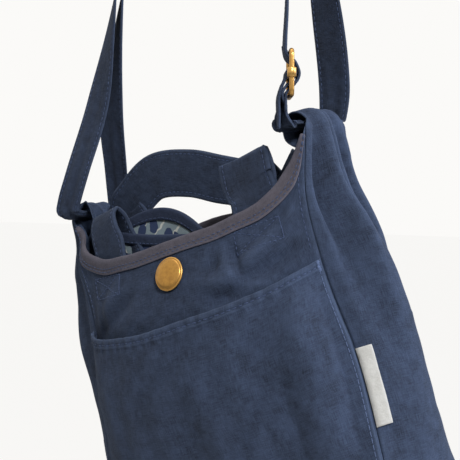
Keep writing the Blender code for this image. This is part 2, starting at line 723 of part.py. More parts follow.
def add_slider(finish):
    """Wire slider: a bent rectangular ring, and a bar whose ends wrap round its side wires."""
    across, up, off = slider_axes()
    centre = np.array(SLIDER_PLACE)
    half_width = SLIDER_INNER_WIDTH / 2 + SLIDER_WIRE
    corners = ((1, 1), (-1, 1), (-1, -1), (1, -1))
    sections = []
    for number, (i, j) in enumerate(corners):
        middle = np.array((i * (half_width - SLIDER_CORNER), j * (SLIDER_HALF_HEIGHT - SLIDER_CORNER)))
        for step in (0.0, 22.5, 45.0, 67.5, 90.0):
            a = math.radians(90 * number + step)
            out = across * math.cos(a) + up * math.sin(a)
            place = centre + across * middle[0] + up * middle[1] + out * SLIDER_CORNER
            ring = [math.radians(45 * k) for k in range(8)]
            sections.append([place + (out * math.cos(t) + off * math.sin(t)) * SLIDER_WIRE for t in ring])
    swept_solid("slider_frame", sections, finish("slider_frame"), hanging_strap, closed=True)
    reach = across * half_width
    bar = pin("slider_bar", centre - reach, centre + reach, SLIDER_BAR_RADIUS, 12)
    bar.data.materials.append(finish("slider_bar"))
    bore = SLIDER_WIRE + SLIDER_SLEEVE_CLEAR
    for side in (-1, 1):
        middle = centre + across * half_width * side
        reach = up * SLIDER_SLEEVE_HEIGHT / 2
        sleeve = pin("slider_sleeve", middle - reach, middle + reach, bore + SLIDER_SLEEVE_WALL, 16)
        hole = pin("slider_sleeve_hole", middle - reach * 1.5, middle + reach * 1.5, bore, 16)
        for tool, action in ((sleeve, "UNION"), (hole, "DIFFERENCE")):
            combine(bar, tool, action)


def pin(name, start, end, radius, sides):
    """Round bar between two points of the strap's frame."""
    axis = unit(end - start)
    first = unit(np.cross(axis, (0.31, 0.59, 0.74)))
    second = np.cross(axis, first)
    angles = [2 * math.pi * k / sides for k in range(sides)]
    ring = [first * math.cos(a) * radius + second * math.sin(a) * radius for a in angles]
    piece = swept_solid(name, [[start + p for p in ring], [end + p for p in ring]], None, hanging_strap)
    piece.data.materials.clear()
    return piece


def combine(piece, tool, action):
    """Boolean of two pieces; the tool stays in the file as a hidden guide."""
    step = piece.modifiers.new(tool.name, "BOOLEAN")
    step.operation = action
    step.object = tool
    tool.hide_render = True
    tool.display_type = "WIRE"


def turned_solid(name, outline, place, axis, material):
    """Solid turned about an axis: outline is a ring of (radius, height) pairs off the axis."""
    axis = unit(axis)
    first = unit(np.cross(axis, (1.0, 0.0, 0.0)))
    second = np.cross(axis, first)
    sections = []
    for k in range(SNAP_SIDES):
        a = 2 * math.pi * k / SNAP_SIDES
        out = first * math.cos(a) + second * math.sin(a)
        sections.append([place + out * r + axis * h for r, h in outline])
    return swept_solid(name, sections, material, leaning_body, closed=True)


def add_snaps(finish):
    """Snap fastener: cap and socket on the front panel, stud and its post on the back panel."""
    for front in (True, False):
        here = panel_point(0.0, 0.0, 0.0, front)
        above = panel_point(0.0, 1.0, 0.0, front)
        slope = unit(above - here)
        out = unit(np.cross(slope, (1, 0, 0)) if not front else np.cross((1, 0, 0), slope))
        seat = CANVAS / 2 + SNAP_STAND
        hole = SHANK_RADIUS + CLEAR
        cutter = pin("snap_hole", here - out * 4, here + out * 4, hole, SNAP_SIDES)
        cutter.parent = leaning_body
        combine(bpy.data.objects["front_panel" if front else "back_panel"], cutter, "DIFFERENCE")
        reach = seat + SOCKET_HEIGHT * 0.8
        dome = [(CAP_RADIUS * math.cos(a), CAP_EDGE + (CAP_HEIGHT - CAP_EDGE) * math.sin(a))
                for a in (0.0, 0.4, 0.8, 1.2)]
        cap_outline = [(SHANK_BORE, -reach), (SHANK_RADIUS, -reach)]
        cap_outline += [(SHANK_RADIUS, seat), (CAP_RADIUS, seat)]
        cap_outline += [(r, seat + h) for r, h in dome] + [(SHANK_BORE, seat + CAP_HEIGHT)]
        inner = SHANK_RADIUS + CLEAR
        if front:
            turned_solid("snap_cap", cap_outline, here, out, finish("snap_cap"))
            ring = [
                (inner, -seat),
                (inner, -seat - SOCKET_HEIGHT * 0.5),
                (STUD_RADIUS + CLEAR, -seat - SOCKET_HEIGHT * 0.5),
                (STUD_RADIUS + CLEAR, -seat - SOCKET_HEIGHT),
                (SOCKET_RADIUS - SOCKET_WALL, -seat - SOCKET_HEIGHT),
                (SOCKET_RADIUS, -seat - SOCKET_HEIGHT * 0.4),
                (SOCKET_RADIUS, -seat),
            ]
            turned_solid("snap_socket", ring, here, out, finish("snap_socket"))
        else:
            turned_solid("snap_post", cap_outline, here, out, finish("snap_post"))
            ring = [
                (inner, -seat),
                (inner, -seat - STUD_HEIGHT - STUD_FLANGE_HEIGHT),
                (STUD_RADIUS - 0.5, -seat - STUD_HEIGHT - STUD_FLANGE_HEIGHT),
                (STUD_RADIUS, -seat - STUD_HEIGHT * 0.7),
                (STUD_RADIUS - 0.4, -seat - STUD_FLANGE_HEIGHT),
                (STUD_FLANGE, -seat - STUD_FLANGE_HEIGHT),
                (STUD_FLANGE, -seat),
            ]
            turned_solid("snap_stud", ring, here, out, finish("snap_stud"))


def pouch_ring(depth, grow):
    """One closed ring of the pouch, depth below its mouth, grown outward by grow."""
    share = 1 - depth / POUCH_HEIGHT
    half_width = POUCH_HALF_WIDTH * (0.9 + 0.1 * share) + grow
    half_open = (POUCH_OPEN - 3.0) * ease(0.0, 1.0, share) + 3.0 + grow
    back_y = panel_point(POUCH_X / SEAM_WIDTH_WAIST, BACK_RIM_Z - 4, 0.0, False)[1]
    behind = CANVAS / 2 + BINDING_CLEAR + BINDING + HANDLE_STAND + HANDLE_THICK + CLEAR
    middle_y = back_y - behind - POUCH_OPEN - POUCH_CANVAS / 2 - BINDING - CLEAR
    c, s = math.cos(LEAN), math.sin(LEAN)
    ring = []
    for k in range(POUCH_SIDES):
        a = 2 * math.pi * k / POUCH_SIDES
        x = half_width * math.cos(a)
        y = half_open * math.copysign(abs(math.sin(a)) ** 1.15, math.sin(a))
        arch = POUCH_ARCH * (1 - (x / POUCH_HALF_WIDTH) ** 2) * (0.5 + 0.5 * math.sin(a)) * share
        z = -depth + arch
        ring.append(np.array((POUCH_X + x * c + z * s, middle_y + y, POUCH_TOP_Z - x * s + z * c)))
    return ring


def add_pouch(finish):
    """Flat pouch for a phone, open at its lens-shaped bound mouth."""
    depths = (POUCH_HEIGHT, POUCH_HEIGHT * 0.7, POUCH_HEIGHT * 0.4, POUCH_BINDING_LEG + 2, 0.0)
    outer = [pouch_ring(d, POUCH_CANVAS / 2) for d in depths]
    inner = [pouch_ring(d, -POUCH_CANVAS / 2) for d in reversed(depths[1:])]
    floor = pouch_ring(POUCH_HEIGHT - 2 * POUCH_CANVAS, -POUCH_CANVAS / 2)
    swept_solid("inner_pocket", [*outer, *inner, floor], finish("inner_pocket"), leaning_body)
    near = POUCH_CANVAS / 2 + CLEAR
    far = near + BINDING
    leg = POUCH_BINDING_LEG
    top = -CLEAR - BINDING
    outside = ((leg, far), (top, far), (top, -far), (leg, -far))
    inside = ((leg, -near), (-CLEAR, -near), (-CLEAR, near), (leg, near))
    rings = [pouch_ring(d, g) for d, g in outside + inside]
    sections = [[ring[k] for ring in rings] for k in range(POUCH_SIDES)]
    swept_solid("inner_pocket_binding", sections, finish("inner_pocket_binding"), leaning_body, closed=True)


NAVY = (0.034, 0.048, 0.078)
TAUPE = (0.16, 0.14, 0.14)
PRINT = (0.30, 0.34, 0.36)
CREAM = (0.74, 0.72, 0.66)
BRASS = (0.45, 0.29, 0.12)
COLOURS = {
    "binding_front": TAUPE,
    "binding_back": TAUPE,
    "inner_pocket": PRINT,
    "side_label": CREAM,
}


def finish(name):
    """Material of one piece: brass for the fittings, cloth for the rest."""
    if name.startswith(("snap", "slider")):
        return plain_finish(name + "_brass", BRASS, 0.35, 1.0)
    return plain_finish(name + "_cloth", COLOURS.get(name, NAVY))


for old in list(bpy.data.objects):
    bpy.data.objects.remove(old, do_unlink=True)

hanging_strap = bpy.data.objects.new("hanging_strap", None)
hanging_strap.location = (-HOOK_X * MM, 0.0, -HOOK_Z * MM - STRAP_THICK / 2 * MM)
leaning_body = bpy.data.objects.new("leaning_body", None)
leaning_body.location = hanging_strap.location
leaning_body.rotation_euler = (0.0, -LEAN, 0.0)
for guide in (hanging_strap, leaning_body):
    bpy.context.scene.collection.objects.link(guide)

add_body(finish)
add_bindings(finish)
add_pocket(finish)
add_label(finish)
add_handles(finish)
add_strap(finish)
add_slider(finish)
add_snaps(finish)
add_pouch(finish)
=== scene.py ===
"""Navy canvas two-way shoulder bag, hanging by its doubled strap with its right side high."""

import math

import bmesh
import bpy
import numpy as np
from mathutils import Matrix, Vector, noise
from mathutils.bvhtree import BVHTree


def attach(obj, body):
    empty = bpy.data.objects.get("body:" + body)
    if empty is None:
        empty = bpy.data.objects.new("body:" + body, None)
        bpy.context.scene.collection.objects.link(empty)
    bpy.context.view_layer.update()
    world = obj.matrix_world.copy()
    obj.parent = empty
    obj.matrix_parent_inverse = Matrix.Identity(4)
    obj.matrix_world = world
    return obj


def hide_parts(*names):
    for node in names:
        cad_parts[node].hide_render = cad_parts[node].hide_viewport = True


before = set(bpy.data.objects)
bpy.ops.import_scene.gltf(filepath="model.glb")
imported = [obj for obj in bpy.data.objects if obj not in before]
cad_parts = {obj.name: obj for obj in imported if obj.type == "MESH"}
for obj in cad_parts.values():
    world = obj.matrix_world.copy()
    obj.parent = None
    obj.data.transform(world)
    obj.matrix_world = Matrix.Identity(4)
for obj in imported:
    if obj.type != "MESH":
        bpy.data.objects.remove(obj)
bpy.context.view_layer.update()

# Camera
# The photograph looks at the bag a little from its right and from just above the snap, with a
# long lens. Places are millimetres from the middle of the bag, at the height of the snap.
LEAN = math.radians(18.0)
BAG_IN_FRAME = np.array((-4.0, 0.0, -400.7))
VIEW_TURN = math.radians(33.8)
VIEW_RISE = math.radians(2.9)
VIEW_DISTANCE = 657.9
VIEW_SIDE = 7.1
VIEW_LIFT = 22.4
VIEW_LENS = 90.1

view_back = Vector((
    math.sin(VIEW_TURN) * math.cos(VIEW_RISE),
    -math.cos(VIEW_TURN) * math.cos(VIEW_RISE),
    math.sin(VIEW_RISE),
))
view_right = Vector((math.cos(VIEW_TURN), math.sin(VIEW_TURN), 0.0))
view_up = view_back.cross(view_right)
eye = Vector(BAG_IN_FRAME) + view_back * VIEW_DISTANCE + view_right * VIEW_SIDE + view_up * VIEW_LIFT
camera = bpy.data.objects.new("camera", bpy.data.cameras.new("camera"))
camera.data.lens = VIEW_LENS
camera.data.sensor_width = 36.0
camera.matrix_world = Matrix.Translation(eye * 0.001) @ Matrix(
    (view_right, view_up, view_back)
).transposed().to_4x4()
bpy.context.collection.objects.link(camera)
bpy.context.scene.camera = camera
bpy.context.scene.view_settings.view_transform = "Standard"


# Studio
# A pale floor and white surround, a window light from the right and behind that edges the gussets
# in pale blue, a soft light from the front and a wide one from above.
def linear(hex_colour, alpha=1.0):
    """Linear colour of an sRGB hex value."""
    channels = (int(hex_colour[i : i + 2], 16) / 255 for i in (1, 3, 5))
    return (*(c / 12.92 if c <= 0.04045 else ((c + 0.055) / 1.055) ** 2.4 for c in channels), alpha)


def add(tree, kind, settings=None, **sockets):
    """Adds a shader node with its settings; a socket gets a value, an output or a node's first one."""
    node = tree.nodes.new("ShaderNode" + kind)
    for name, value in (settings or {}).items():
        setattr(node, name, value)
    for name, value in sockets.items():
        slot = node.inputs[int(name[1:])] if name[1:].isdigit() else node.inputs[name.replace("_", " ")]
        value = value.outputs[0] if isinstance(value, bpy.types.Node) else value
        if isinstance(value, bpy.types.NodeSocket):
            tree.links.new(value, slot)
        else:
            slot.default_value = value
    return node


def bare_material(name):
    """A new material with its node tree and its main shader."""
    material = bpy.data.materials.new(name)
    material.use_nodes = True
    return material, material.node_tree, material.node_tree.nodes["Principled BSDF"]


# Metres below the top of the strap, and half the floor's side
FLOOR_DROP = 1.1
FLOOR_HALF = 12
floor_mesh = bpy.data.meshes.new("floor")
floor_corners = [(FLOOR_HALF * i, FLOOR_HALF * j, 0) for i, j in ((-1, -1), (1, -1), (1, 1), (-1, 1))]
floor_mesh.from_pydata(floor_corners, [], [(0, 1, 2, 3)])
floor = bpy.data.objects.new("floor", floor_mesh)
floor.location = (0.0, 0.0, -FLOOR_DROP)
bpy.context.collection.objects.link(floor)
paper, paper_tree, paper_shader = bare_material("seamless_paper")
paper_shader.inputs["Base Color"].default_value = linear("#f2f0ec")
paper_shader.inputs["Roughness"].default_value = 0.9
paper_seen = add(paper_tree, "LightPath").outputs["Is Camera Ray"]
paper_share = add(paper_tree, "Math", {"operation": "MULTIPLY"}, _0=paper_seen, _1=0.96)
paper_glow = add(paper_tree, "Emission", Color=linear("#fbfaf8"), Strength=1.0)
paper_mix = add(paper_tree, "MixShader", _0=paper_share, _1=paper_shader, _2=paper_glow)
paper_tree.links.new(paper_mix.outputs[0], paper_tree.nodes["Material Output"].inputs["Surface"])
floor_mesh.materials.append(paper)

world = bpy.data.worlds.new("studio")
bpy.context.scene.world = world
world.use_nodes = True
sky = world.node_tree
rays = add(sky, "LightPath").outputs
seen = add(sky, "Math", {"operation": "MAXIMUM"}, _0=rays["Is Camera Ray"], _1=rays["Is Glossy Ray"])
soft = sky.nodes["Background"]
soft.inputs["Color"].default_value = linear("#e8edf5")
soft.inputs["Strength"].default_value = 0.2
white = add(sky, "Background", Color=linear("#fbfaf8"), Strength=1.0)
mixed = add(sky, "MixShader", _0=seen, _1=soft, _2=white)
sky.links.new(mixed.outputs[0], sky.nodes["World Output"].inputs["Surface"])


def lamp(name, place, size, watts, tint):
    """Square soft light that faces the middle of the bag."""
    light = bpy.data.lights.new(name, "AREA")
    light.size = size
    light.energy = watts
    light.color = linear(tint)[:3]
    holder = bpy.data.objects.new(name, light)
    aim = Vector(BAG_IN_FRAME * 0.001)
    holder.location = aim + Vector(place)
    holder.rotation_euler = (-Vector(place)).to_track_quat("-Z", "Y").to_euler()
    bpy.context.collection.objects.link(holder)


lamp("window", (1.25, 0.6, 0.55), 0.5, 14.0, "#dfeaff")
lamp("front", (1.0, -0.85, 0.95), 0.3, 21.0, "#eef3ff")
lamp("overhead", (-0.3, 0.3, 1.9), 1.6, 17.0, "#fff9f2")


# Canvas body
# Front, back, two sides and a base, cut from washed cotton and linen canvas 1.4 mm thick, sewn
# inside out and turned. Washing has softened it, so the sides fall in folds from the tunnels
# through which the strap runs.
CANVAS = 1.4
BASE_Z = -150.0
LOWER_Z = -66.0
POCKET_CORNER_Z = -14.0
WAIST_Z = 20.0
SEAM_TOP_Z = 54.0
FRONT_RIM_Z = 17.5
BACK_RIM_Z = 28.0
BASE_ROUND = 12.0
# Half sizes that the turn under the base is measured against
BASE_HALF = 102.0
BASE_DEEP = 46.0
TUNNEL_HALF = 10.0
TUNNEL_RISE = 10.5
FLAP_LENGTH = 22.0
# Slump: how far the cloth wavers in depth and height. Pinch: how far the left corner is turned in
SLUMP_DEEP = 1.5
SLUMP_DROP = 0.9
PINCH_IN = 3.0
PINCH_BACK = 12.0
NAVY = "#384256"
NAVY_DEEP = "#1f2430"
NAVY_PALE = "#56647c"


def through(*points):
    """Smooth curve through (place, value) points, read at a number or an array."""
    at, value = (np.array(column, float) for column in zip(*points))
    slope = np.gradient(value, at)

    def read(place):
        place = np.clip(place, at[0], at[-1])
        i = np.clip(np.searchsorted(at, place) - 1, 0, len(at) - 2)
        span = at[i + 1] - at[i]
        t = (place - at[i]) / span
        start = (2 * t**3 - 3 * t**2 + 1) * value[i] + (t**3 - 2 * t**2 + t) * span * slope[i]
        return start + (3 * t**2 - 2 * t**3) * value[i + 1] + (t**3 - t**2) * span * slope[i + 1]

    return read


def unit(vectors):
    """The same directions with length 1."""
    return vectors / np.linalg.norm(vectors, axis=-1, keepdims=True)


def ease(low, high, value):
    """Soft step from 0 at low to 1 at high."""
    t = np.clip((np.asarray(value, float) - low) / (high - low), 0, 1)
    return t * t * (3 - 2 * t)


seam_width = through((BASE_Z, 92), (LOWER_Z, 86), (POCKET_CORNER_Z, 79), (WAIST_Z, 81), (SEAM_TOP_Z, 91))
seam_depth = through((BASE_Z, 40), (LOWER_Z, 25), (SEAM_TOP_Z, 21))
front_belly = through((BASE_Z, 46), (LOWER_Z, 55), (0, 44), (FRONT_RIM_Z, 38), (SEAM_TOP_Z, 30))
back_belly = through((BASE_Z, 42), (LOWER_Z, 38), (0, 15), (BACK_RIM_Z, 4), (SEAM_TOP_Z, 10))
side_swell = through((BASE_Z, 10), (LOWER_Z, 23), (POCKET_CORNER_Z, 27), (WAIST_Z, 15), (SEAM_TOP_Z, 5))
front_rise = through((0, 0), (0.45, 0.03), (0.72, 0.16), (0.86, 0.38), (0.95, 0.68), (1, 1))
back_rise = through((0, 0), (0.45, 0.06), (0.62, 0.4), (0.8, 0.85), (1, 1))


def front_rim(u):
    """Height of the front rim at panel place u."""
    return FRONT_RIM_Z + (SEAM_TOP_Z - FRONT_RIM_Z) * front_rise(np.abs(u))


def back_rim(u):
    """Height of the back rim at panel place u."""
    return BACK_RIM_Z + (SEAM_TOP_Z - BACK_RIM_Z) * back_rise(np.abs(u))


def under(z):
    """How far a wall has turned in under the base at height z, from 0 to BASE_ROUND."""
    low = np.clip((BASE_Z + BASE_ROUND - z) / BASE_ROUND, 0, 1)
    return BASE_ROUND * (1 - np.sqrt(np.clip(1 - low * low, 0, 1)))


def panel_point(u, z, front=True):
    """Points of the front or back panel: u is -1 at the left seam and 1 at the right one."""
    u, z = np.broadcast_arrays(np.asarray(u, float), np.asarray(z, float))
    depth = seam_depth(z)
    belly = front_belly(z) if front else back_belly(z)
    out = depth + (belly - depth) * (1 - np.abs(u) ** 2.2)
    y = (-out if front else out) * (1 - under(z) / BASE_DEEP)
    return np.stack([u * seam_width(z) * (1 - under(z) / BASE_HALF), y, z], axis=-1)


# Folds down a gusset: place at the top, drift on the way down, width, depth, foot height
GUSSET_FOLDS = (
    (0.17, 0.03, 0.085, 9.6, -78.0),
    (0.37, 0.10, 0.034, 2.8, -10.0),
    (0.56, 0.10, 0.080, 9.4, -52.0),
    (0.84, -0.02, 0.060, 5.0, -55.0),
)
fold_deep = through((-0.2, 0.0), (0.25, 0.25), (0.62, 1.0), (0.82, 0.75), (1.0, 0.28))


def gusset_point(side, w, z, sunk=0.0):
    """Points of a gusset: w is 0 at the front seam and 1 at the back one."""
    w, z = np.broadcast_arrays(np.asarray(w, float), np.asarray(z, float))
    out = seam_width(z) + side_swell(z) * 4 * w * (1 - w) - sunk
    for place, drift, width, depth, foot in GUSSET_FOLDS:
        along = (z - foot) / (SEAM_TOP_Z - foot)
        middle = place + drift * (1 - along) + 0.012 * np.sin(z / 11.0 + place * 9)
        fade = np.where(along > 0, fold_deep(along), 0) * ease(0, 0.12, w) * ease(0, 0.12, 1 - w)
        out = out - depth * fade * np.exp(-(((w - middle) / width) ** 2))
        out = out + 0.45 * depth * fade * np.exp(-(((w - middle - 1.6 * width) / width) ** 2))
    x = side * out * (1 - under(z) / BASE_HALF)
    return np.stack([x, (2 * w - 1) * seam_depth(z) * (1 - under(z) / BASE_DEEP), z], axis=-1)


def in_frame(points):
    """Bag millimetres to metres in the shared frame, slumped a little and leaned as the bag hangs."""
    points = np.asarray(points, float)
    x, y, z = np.moveaxis(points, -1, 0)
    held = 1 - np.exp(-(x * x + z * z) / 900.0)
    y = y + SLUMP_DEEP * held * crumple(points * (1.0, 0.15, 1.0), 42.0, 21.0)
    z = z + SLUMP_DROP * held * ease(SEAM_TOP_Z + 2, 10, z) * crumple(points * (1.0, 0.1, 0.2), 24.0, 33.0)
    # The left tunnel is pinched, so the rim's left end turns back and in
    pinch = ease(-66, -86, x) * ease(20, 48, z) * ease(2, -18, y)
    x, y = x + PINCH_IN * pinch, y + PINCH_BACK * pinch
    c, s = math.cos(LEAN), math.sin(LEAN)
    return (np.stack([x * c - z * s, y, x * s + z * c], axis=-1) + BAG_IN_FRAME) * 0.001


def upright(points):
    """Upright millimetres from the middle of the bag to metres in the shared frame."""
    return (np.asarray(points, float) + BAG_IN_FRAME) * 0.001


def crumple(points, size, seed):
    """Smooth repeatable noise at points, from -1 to 1, for creases of about the given size."""
    flat = np.asarray(points).reshape(-1, 3)
    values = [noise.noise((Vector(p) / size) + Vector((seed, seed * 0.7, 3.1))) for p in flat]
    return np.array(values).reshape(np.asarray(points).shape[:-1])


def grid_normals(grid, facing):
    """Normals of a grid of points, on the side that faces the given way."""
    normals = np.cross(np.gradient(grid, axis=1), np.gradient(grid, axis=0))
    normals /= np.maximum(np.linalg.norm(normals, axis=2, keepdims=True), 1e-9)
    agree = np.dot(normals[grid.shape[0] // 3, grid.shape[1] // 2], facing)
    return normals if agree > 0 else -normals


def grid_runs(grid):
    """Millimetres run along the rows of a grid, and up its columns."""
    across = np.linalg.norm(np.diff(grid, axis=1), axis=2)
    up = np.linalg.norm(np.diff(grid, axis=0), axis=2)
    along_rows = np.pad(np.cumsum(across, axis=1), ((0, 0), (1, 0)))
    return along_rows, np.pad(np.cumsum(up, axis=0), ((1, 0), (0, 0)))


def edge_distance(grid):
    """Distance in millimetres from each point of a grid to the nearest side of the grid."""
    s, t = grid_runs(grid)
    return np.minimum(np.minimum(s, s[:, -1:] - s), np.minimum(t, t[-1:] - t))


def outward(mesh):
    """Turns all faces of a closed mesh outward."""
    bm = bmesh.new()
    bm.from_mesh(mesh)
    bmesh.ops.recalc_face_normals(bm, faces=bm.faces)
    bm.to_mesh(mesh)
    bm.free()


def lay_threads(mesh, threads):
    """Gives a mesh the place of its threads, in millimetres for every point."""
    corner = np.zeros(len(mesh.loops), int)
    mesh.loops.foreach_get("vertex_index", corner)
    mesh.uv_layers.new(name="threads").data.foreach_set("uv", threads[corner].reshape(-1))


def smooth_object(name, mesh, material, body="bag"):
    """Smooth-shaded piece of a mesh, riding on a body of the frame."""
    mesh.materials.append(material)
    mesh.shade_smooth()
    piece = bpy.data.objects.new(name, mesh)
    bpy.context.collection.objects.link(piece)
    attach(piece, body)
    return piece


def cloth_sheet(name, grid, normals, thickness, material, to_frame=in_frame):
    """Closed sheet of cloth over a grid of points, with its threads laid out in millimetres."""
    rows, columns = grid.shape[:2]
    half = np.broadcast_to(np.asarray(thickness, float), (rows, columns))[..., None] / 2
    edge = np.minimum(1.0, 0.45 + 0.55 * ease(0, 1.2, edge_distance(grid)))[..., None]
    points = np.concatenate([(grid + normals * half * edge * way).reshape(-1, 3) for way in (1, -1)])
    index = np.arange(rows * columns).reshape(rows, columns)
    a, b, c, d = index[:-1, :-1], index[:-1, 1:], index[1:, 1:], index[1:, :-1]
    top = np.stack([a, b, c, d], axis=-1).reshape(-1, 4)
    low = np.stack([d, c, b, a], axis=-1).reshape(-1, 4) + rows * columns
    ring = np.concatenate([index[0, :-1], index[:-1, -1], index[-1, :0:-1], index[:0:-1, 0]])
    ahead = np.roll(ring, -1)
    wall = np.stack([ring, ring + rows * columns, ahead + rows * columns, ahead], axis=-1)
    mesh = bpy.data.meshes.new(name)
    mesh.from_pydata(to_frame(points).tolist(), [], np.concatenate([top, low, wall]).tolist())
    s, t = grid_runs(grid)
    s -= s[:, columns // 2][:, None]
    t = np.broadcast_to(t[:, columns // 2][:, None], t.shape)
    lay_threads(mesh, np.tile(np.stack([s.reshape(-1), t.reshape(-1)], axis=-1), (2, 1)))
    outward(mesh)
    return smooth_object(name, mesh, material)


def woven(name, base, deep, pale, thread=1.0, fuzz=0.06, relief=0.4):
    """Woven cloth: crossed slubby yarns, washed patches, and pale ridges and edges that are partly wear and
    partly a painted highlight, laid out in millimetres.
    """
    material, tree, shader = bare_material(name)
    layout = add(tree, "UVMap", {"uv_map": "threads"})
    place = add(tree, "TexCoord").outputs["Object"]
    yarns = []
    for stretch, seed in (((0.13, 2.1, 1.0), 3.0), ((2.1, 0.13, 1.0), 11.0)):
        lay = add(tree, "Mapping", Vector=layout, Scale=tuple(v / thread for v in stretch))
        lay.inputs["Location"].default_value = (seed, seed * 2, 0)
        flat_noise = {"noise_dimensions": "2D"}
        yarn = add(tree, "TexNoise", flat_noise, Vector=lay, Scale=1.3, Detail=3.0, Roughness=0.6)
        yarns.append(yarn.outputs["Fac"])
    weave = add(tree, "Math", {"operation": "ADD"}, _0=yarns[0], _1=yarns[1])
    slub = add(tree, "MapRange", Value=weave, From_Min=0.75, From_Max=1.25)
    patch = add(tree, "TexNoise", Vector=place, Scale=34.0, Detail=5.0, Roughness=0.62)
    spots = add(tree, "TexNoise", Vector=place, Scale=130.0, Detail=4.0, Roughness=0.6)
    blend = add(tree, "Mix", Factor=0.6, A=patch.outputs["Fac"], B=spots.outputs["Fac"])
    wash = add(tree, "MapRange", Value=blend.outputs["Result"], From_Min=0.36, From_Max=0.66)
    colour = {"data_type": "RGBA"}
    body = add(tree, "Mix", colour, Factor=wash, A=linear(deep), B=linear(base))
    lit = add(tree, "Math", {"operation": "MULTIPLY"}, _0=slub, _1=0.36)
    tone = add(tree, "Mix", colour, Factor=lit, A=body.outputs["Result"], B=linear(pale))
    # Ridges and edges are painted paler: partly wear, partly a painted highlight where they catch the light.
    edge_wear_and_highlight_place = add(tree, "NewGeometry").outputs["Pointiness"]
    ridge_wear_and_highlight = add(tree, "MapRange", Value=edge_wear_and_highlight_place, From_Min=0.5, From_Max=0.57, To_Max=0.4)
    wear_and_painted_highlight = add(tree, "Mix", colour, Factor=ridge_wear_and_highlight, A=tone.outputs["Result"], B=linear(pale))
    tree.links.new(wear_and_painted_highlight.outputs["Result"], shader.inputs["Base Color"])
    soft_folds = add(tree, "TexNoise", Vector=place, Scale=170.0, Detail=3.0)
    folds = add(tree, "Bump", Height=soft_folds.outputs["Fac"], Strength=0.5, Distance=0.0022)
    bump = add(tree, "Bump", Height=slub, Strength=relief, Distance=0.0004, Normal=folds)
    tree.links.new(bump.outputs[0], shader.inputs["Normal"])
    shader.inputs["Roughness"].default_value = 0.92
    shader.inputs["Specular IOR Level"].default_value = 0.25
    shader.inputs["Sheen Weight"].default_value = fuzz
    shader.inputs["Sheen Roughness"].default_value = 0.5
    shader.inputs["Sheen Tint"].default_value = linear("#9db2d6")
    return material


navy_canvas = woven("washed_cotton_linen_canvas", NAVY, NAVY_DEEP, NAVY_PALE)

PANEL_COLUMNS = 120
WALL_ROWS = 110
panel_u = np.linspace(-1, 1, PANEL_COLUMNS + 1)


def wall_heights(top):
    """Heights up a wall, close together where it turns under and wide apart above."""
    low = BASE_Z + BASE_ROUND * (1 - np.cos(np.linspace(0, math.pi / 2, 9)))[:, None]
    high = np.linspace(BASE_Z + BASE_ROUND, top, WALL_ROWS)[1:]
    return np.concatenate([np.broadcast_to(low, (9, len(top))), high])


# Creases of the front: x and z where each starts and ends, its width and its depth
FRONT_CREASES = (
    (38, 9, 41, -12, 2.6, -3.4),
    (34, 8, 31, -9, 2.8, 2.2),
    (74, 32, 22, -6, 5.5, -3.2),
    (78, 20, 40, -10, 4.0, 2.6),
    (70, -4, 26, -22, 4.5, -2.6),
    (-26, -2, -72, -20, 5.0, -2.4),
    (-40, 12, -64, -24, 4.5, 2.0),
    (16, -8, 58, -22, 4.5, 2.2),
)
BACK_CREASES = (
    (60, -20, -30, -60, 8.0, -2.5),
    (-60, -10, 20, -80, 9.0, -2.0),
    (40, -90, -50, -110, 8.0, 2.0),
)


def creased(x, z, creases):
    """Height of soft creases that run between points of a wall."""
    height = np.zeros(np.shape(x))
    for x0, z0, x1, z1, width, depth in creases:
        long = math.hypot(x1 - x0, z1 - z0)
        along = ((x - x0) * (x1 - x0) + (z - z0) * (z1 - z0)) / long
        off = ((x - x0) * (z1 - z0) - (z - z0) * (x1 - x0)) / long + 0.06 * (along - long / 2) ** 2 / long
        ends = ease(-0.15 * long, 0.3 * long, along) * ease(1.15 * long, 0.7 * long, along)
        beside = 0.4 * np.exp(-(((off - 1.7 * width) / width) ** 2))
        height = height + depth * ends * (np.exp(-((off / width) ** 2)) - beside)
    return height


def canvas_panel(name, front, rim, seed):
    """One large face of the body, with soft dents that fade out at its seams and its rim."""
    z = wall_heights(rim(panel_u))
    grid = panel_point(np.broadcast_to(panel_u, z.shape), z, front)
    normals = grid_normals(grid, (0, -1 if front else 1, 0))
    calm = ease(7, 26, edge_distance(grid))
    dents = crumple(grid * (1.0, 1.0, 0.6), 30.0, seed) * 2.6 + crumple(grid, 12.0, seed + 5) * 0.7
    dents = dents + creased(grid[..., 0], grid[..., 2], FRONT_CREASES if front else BACK_CREASES)
    grid = grid + normals * (dents * calm)[..., None]
    grid[:, 0, 0] += 0.2
    grid[:, -1, 0] -= 0.2
    piece = cloth_sheet(name, grid, grid_normals(grid, (0, -1 if front else 1, 0)), CANVAS, navy_canvas)
    return piece


front_cloth = canvas_panel("front_cloth", True, front_rim, 2.0)
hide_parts("front_panel")
back_cloth = canvas_panel("back_cloth", False, back_rim, 9.0)
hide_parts("back_panel")

GUSSET_COLUMNS = 64


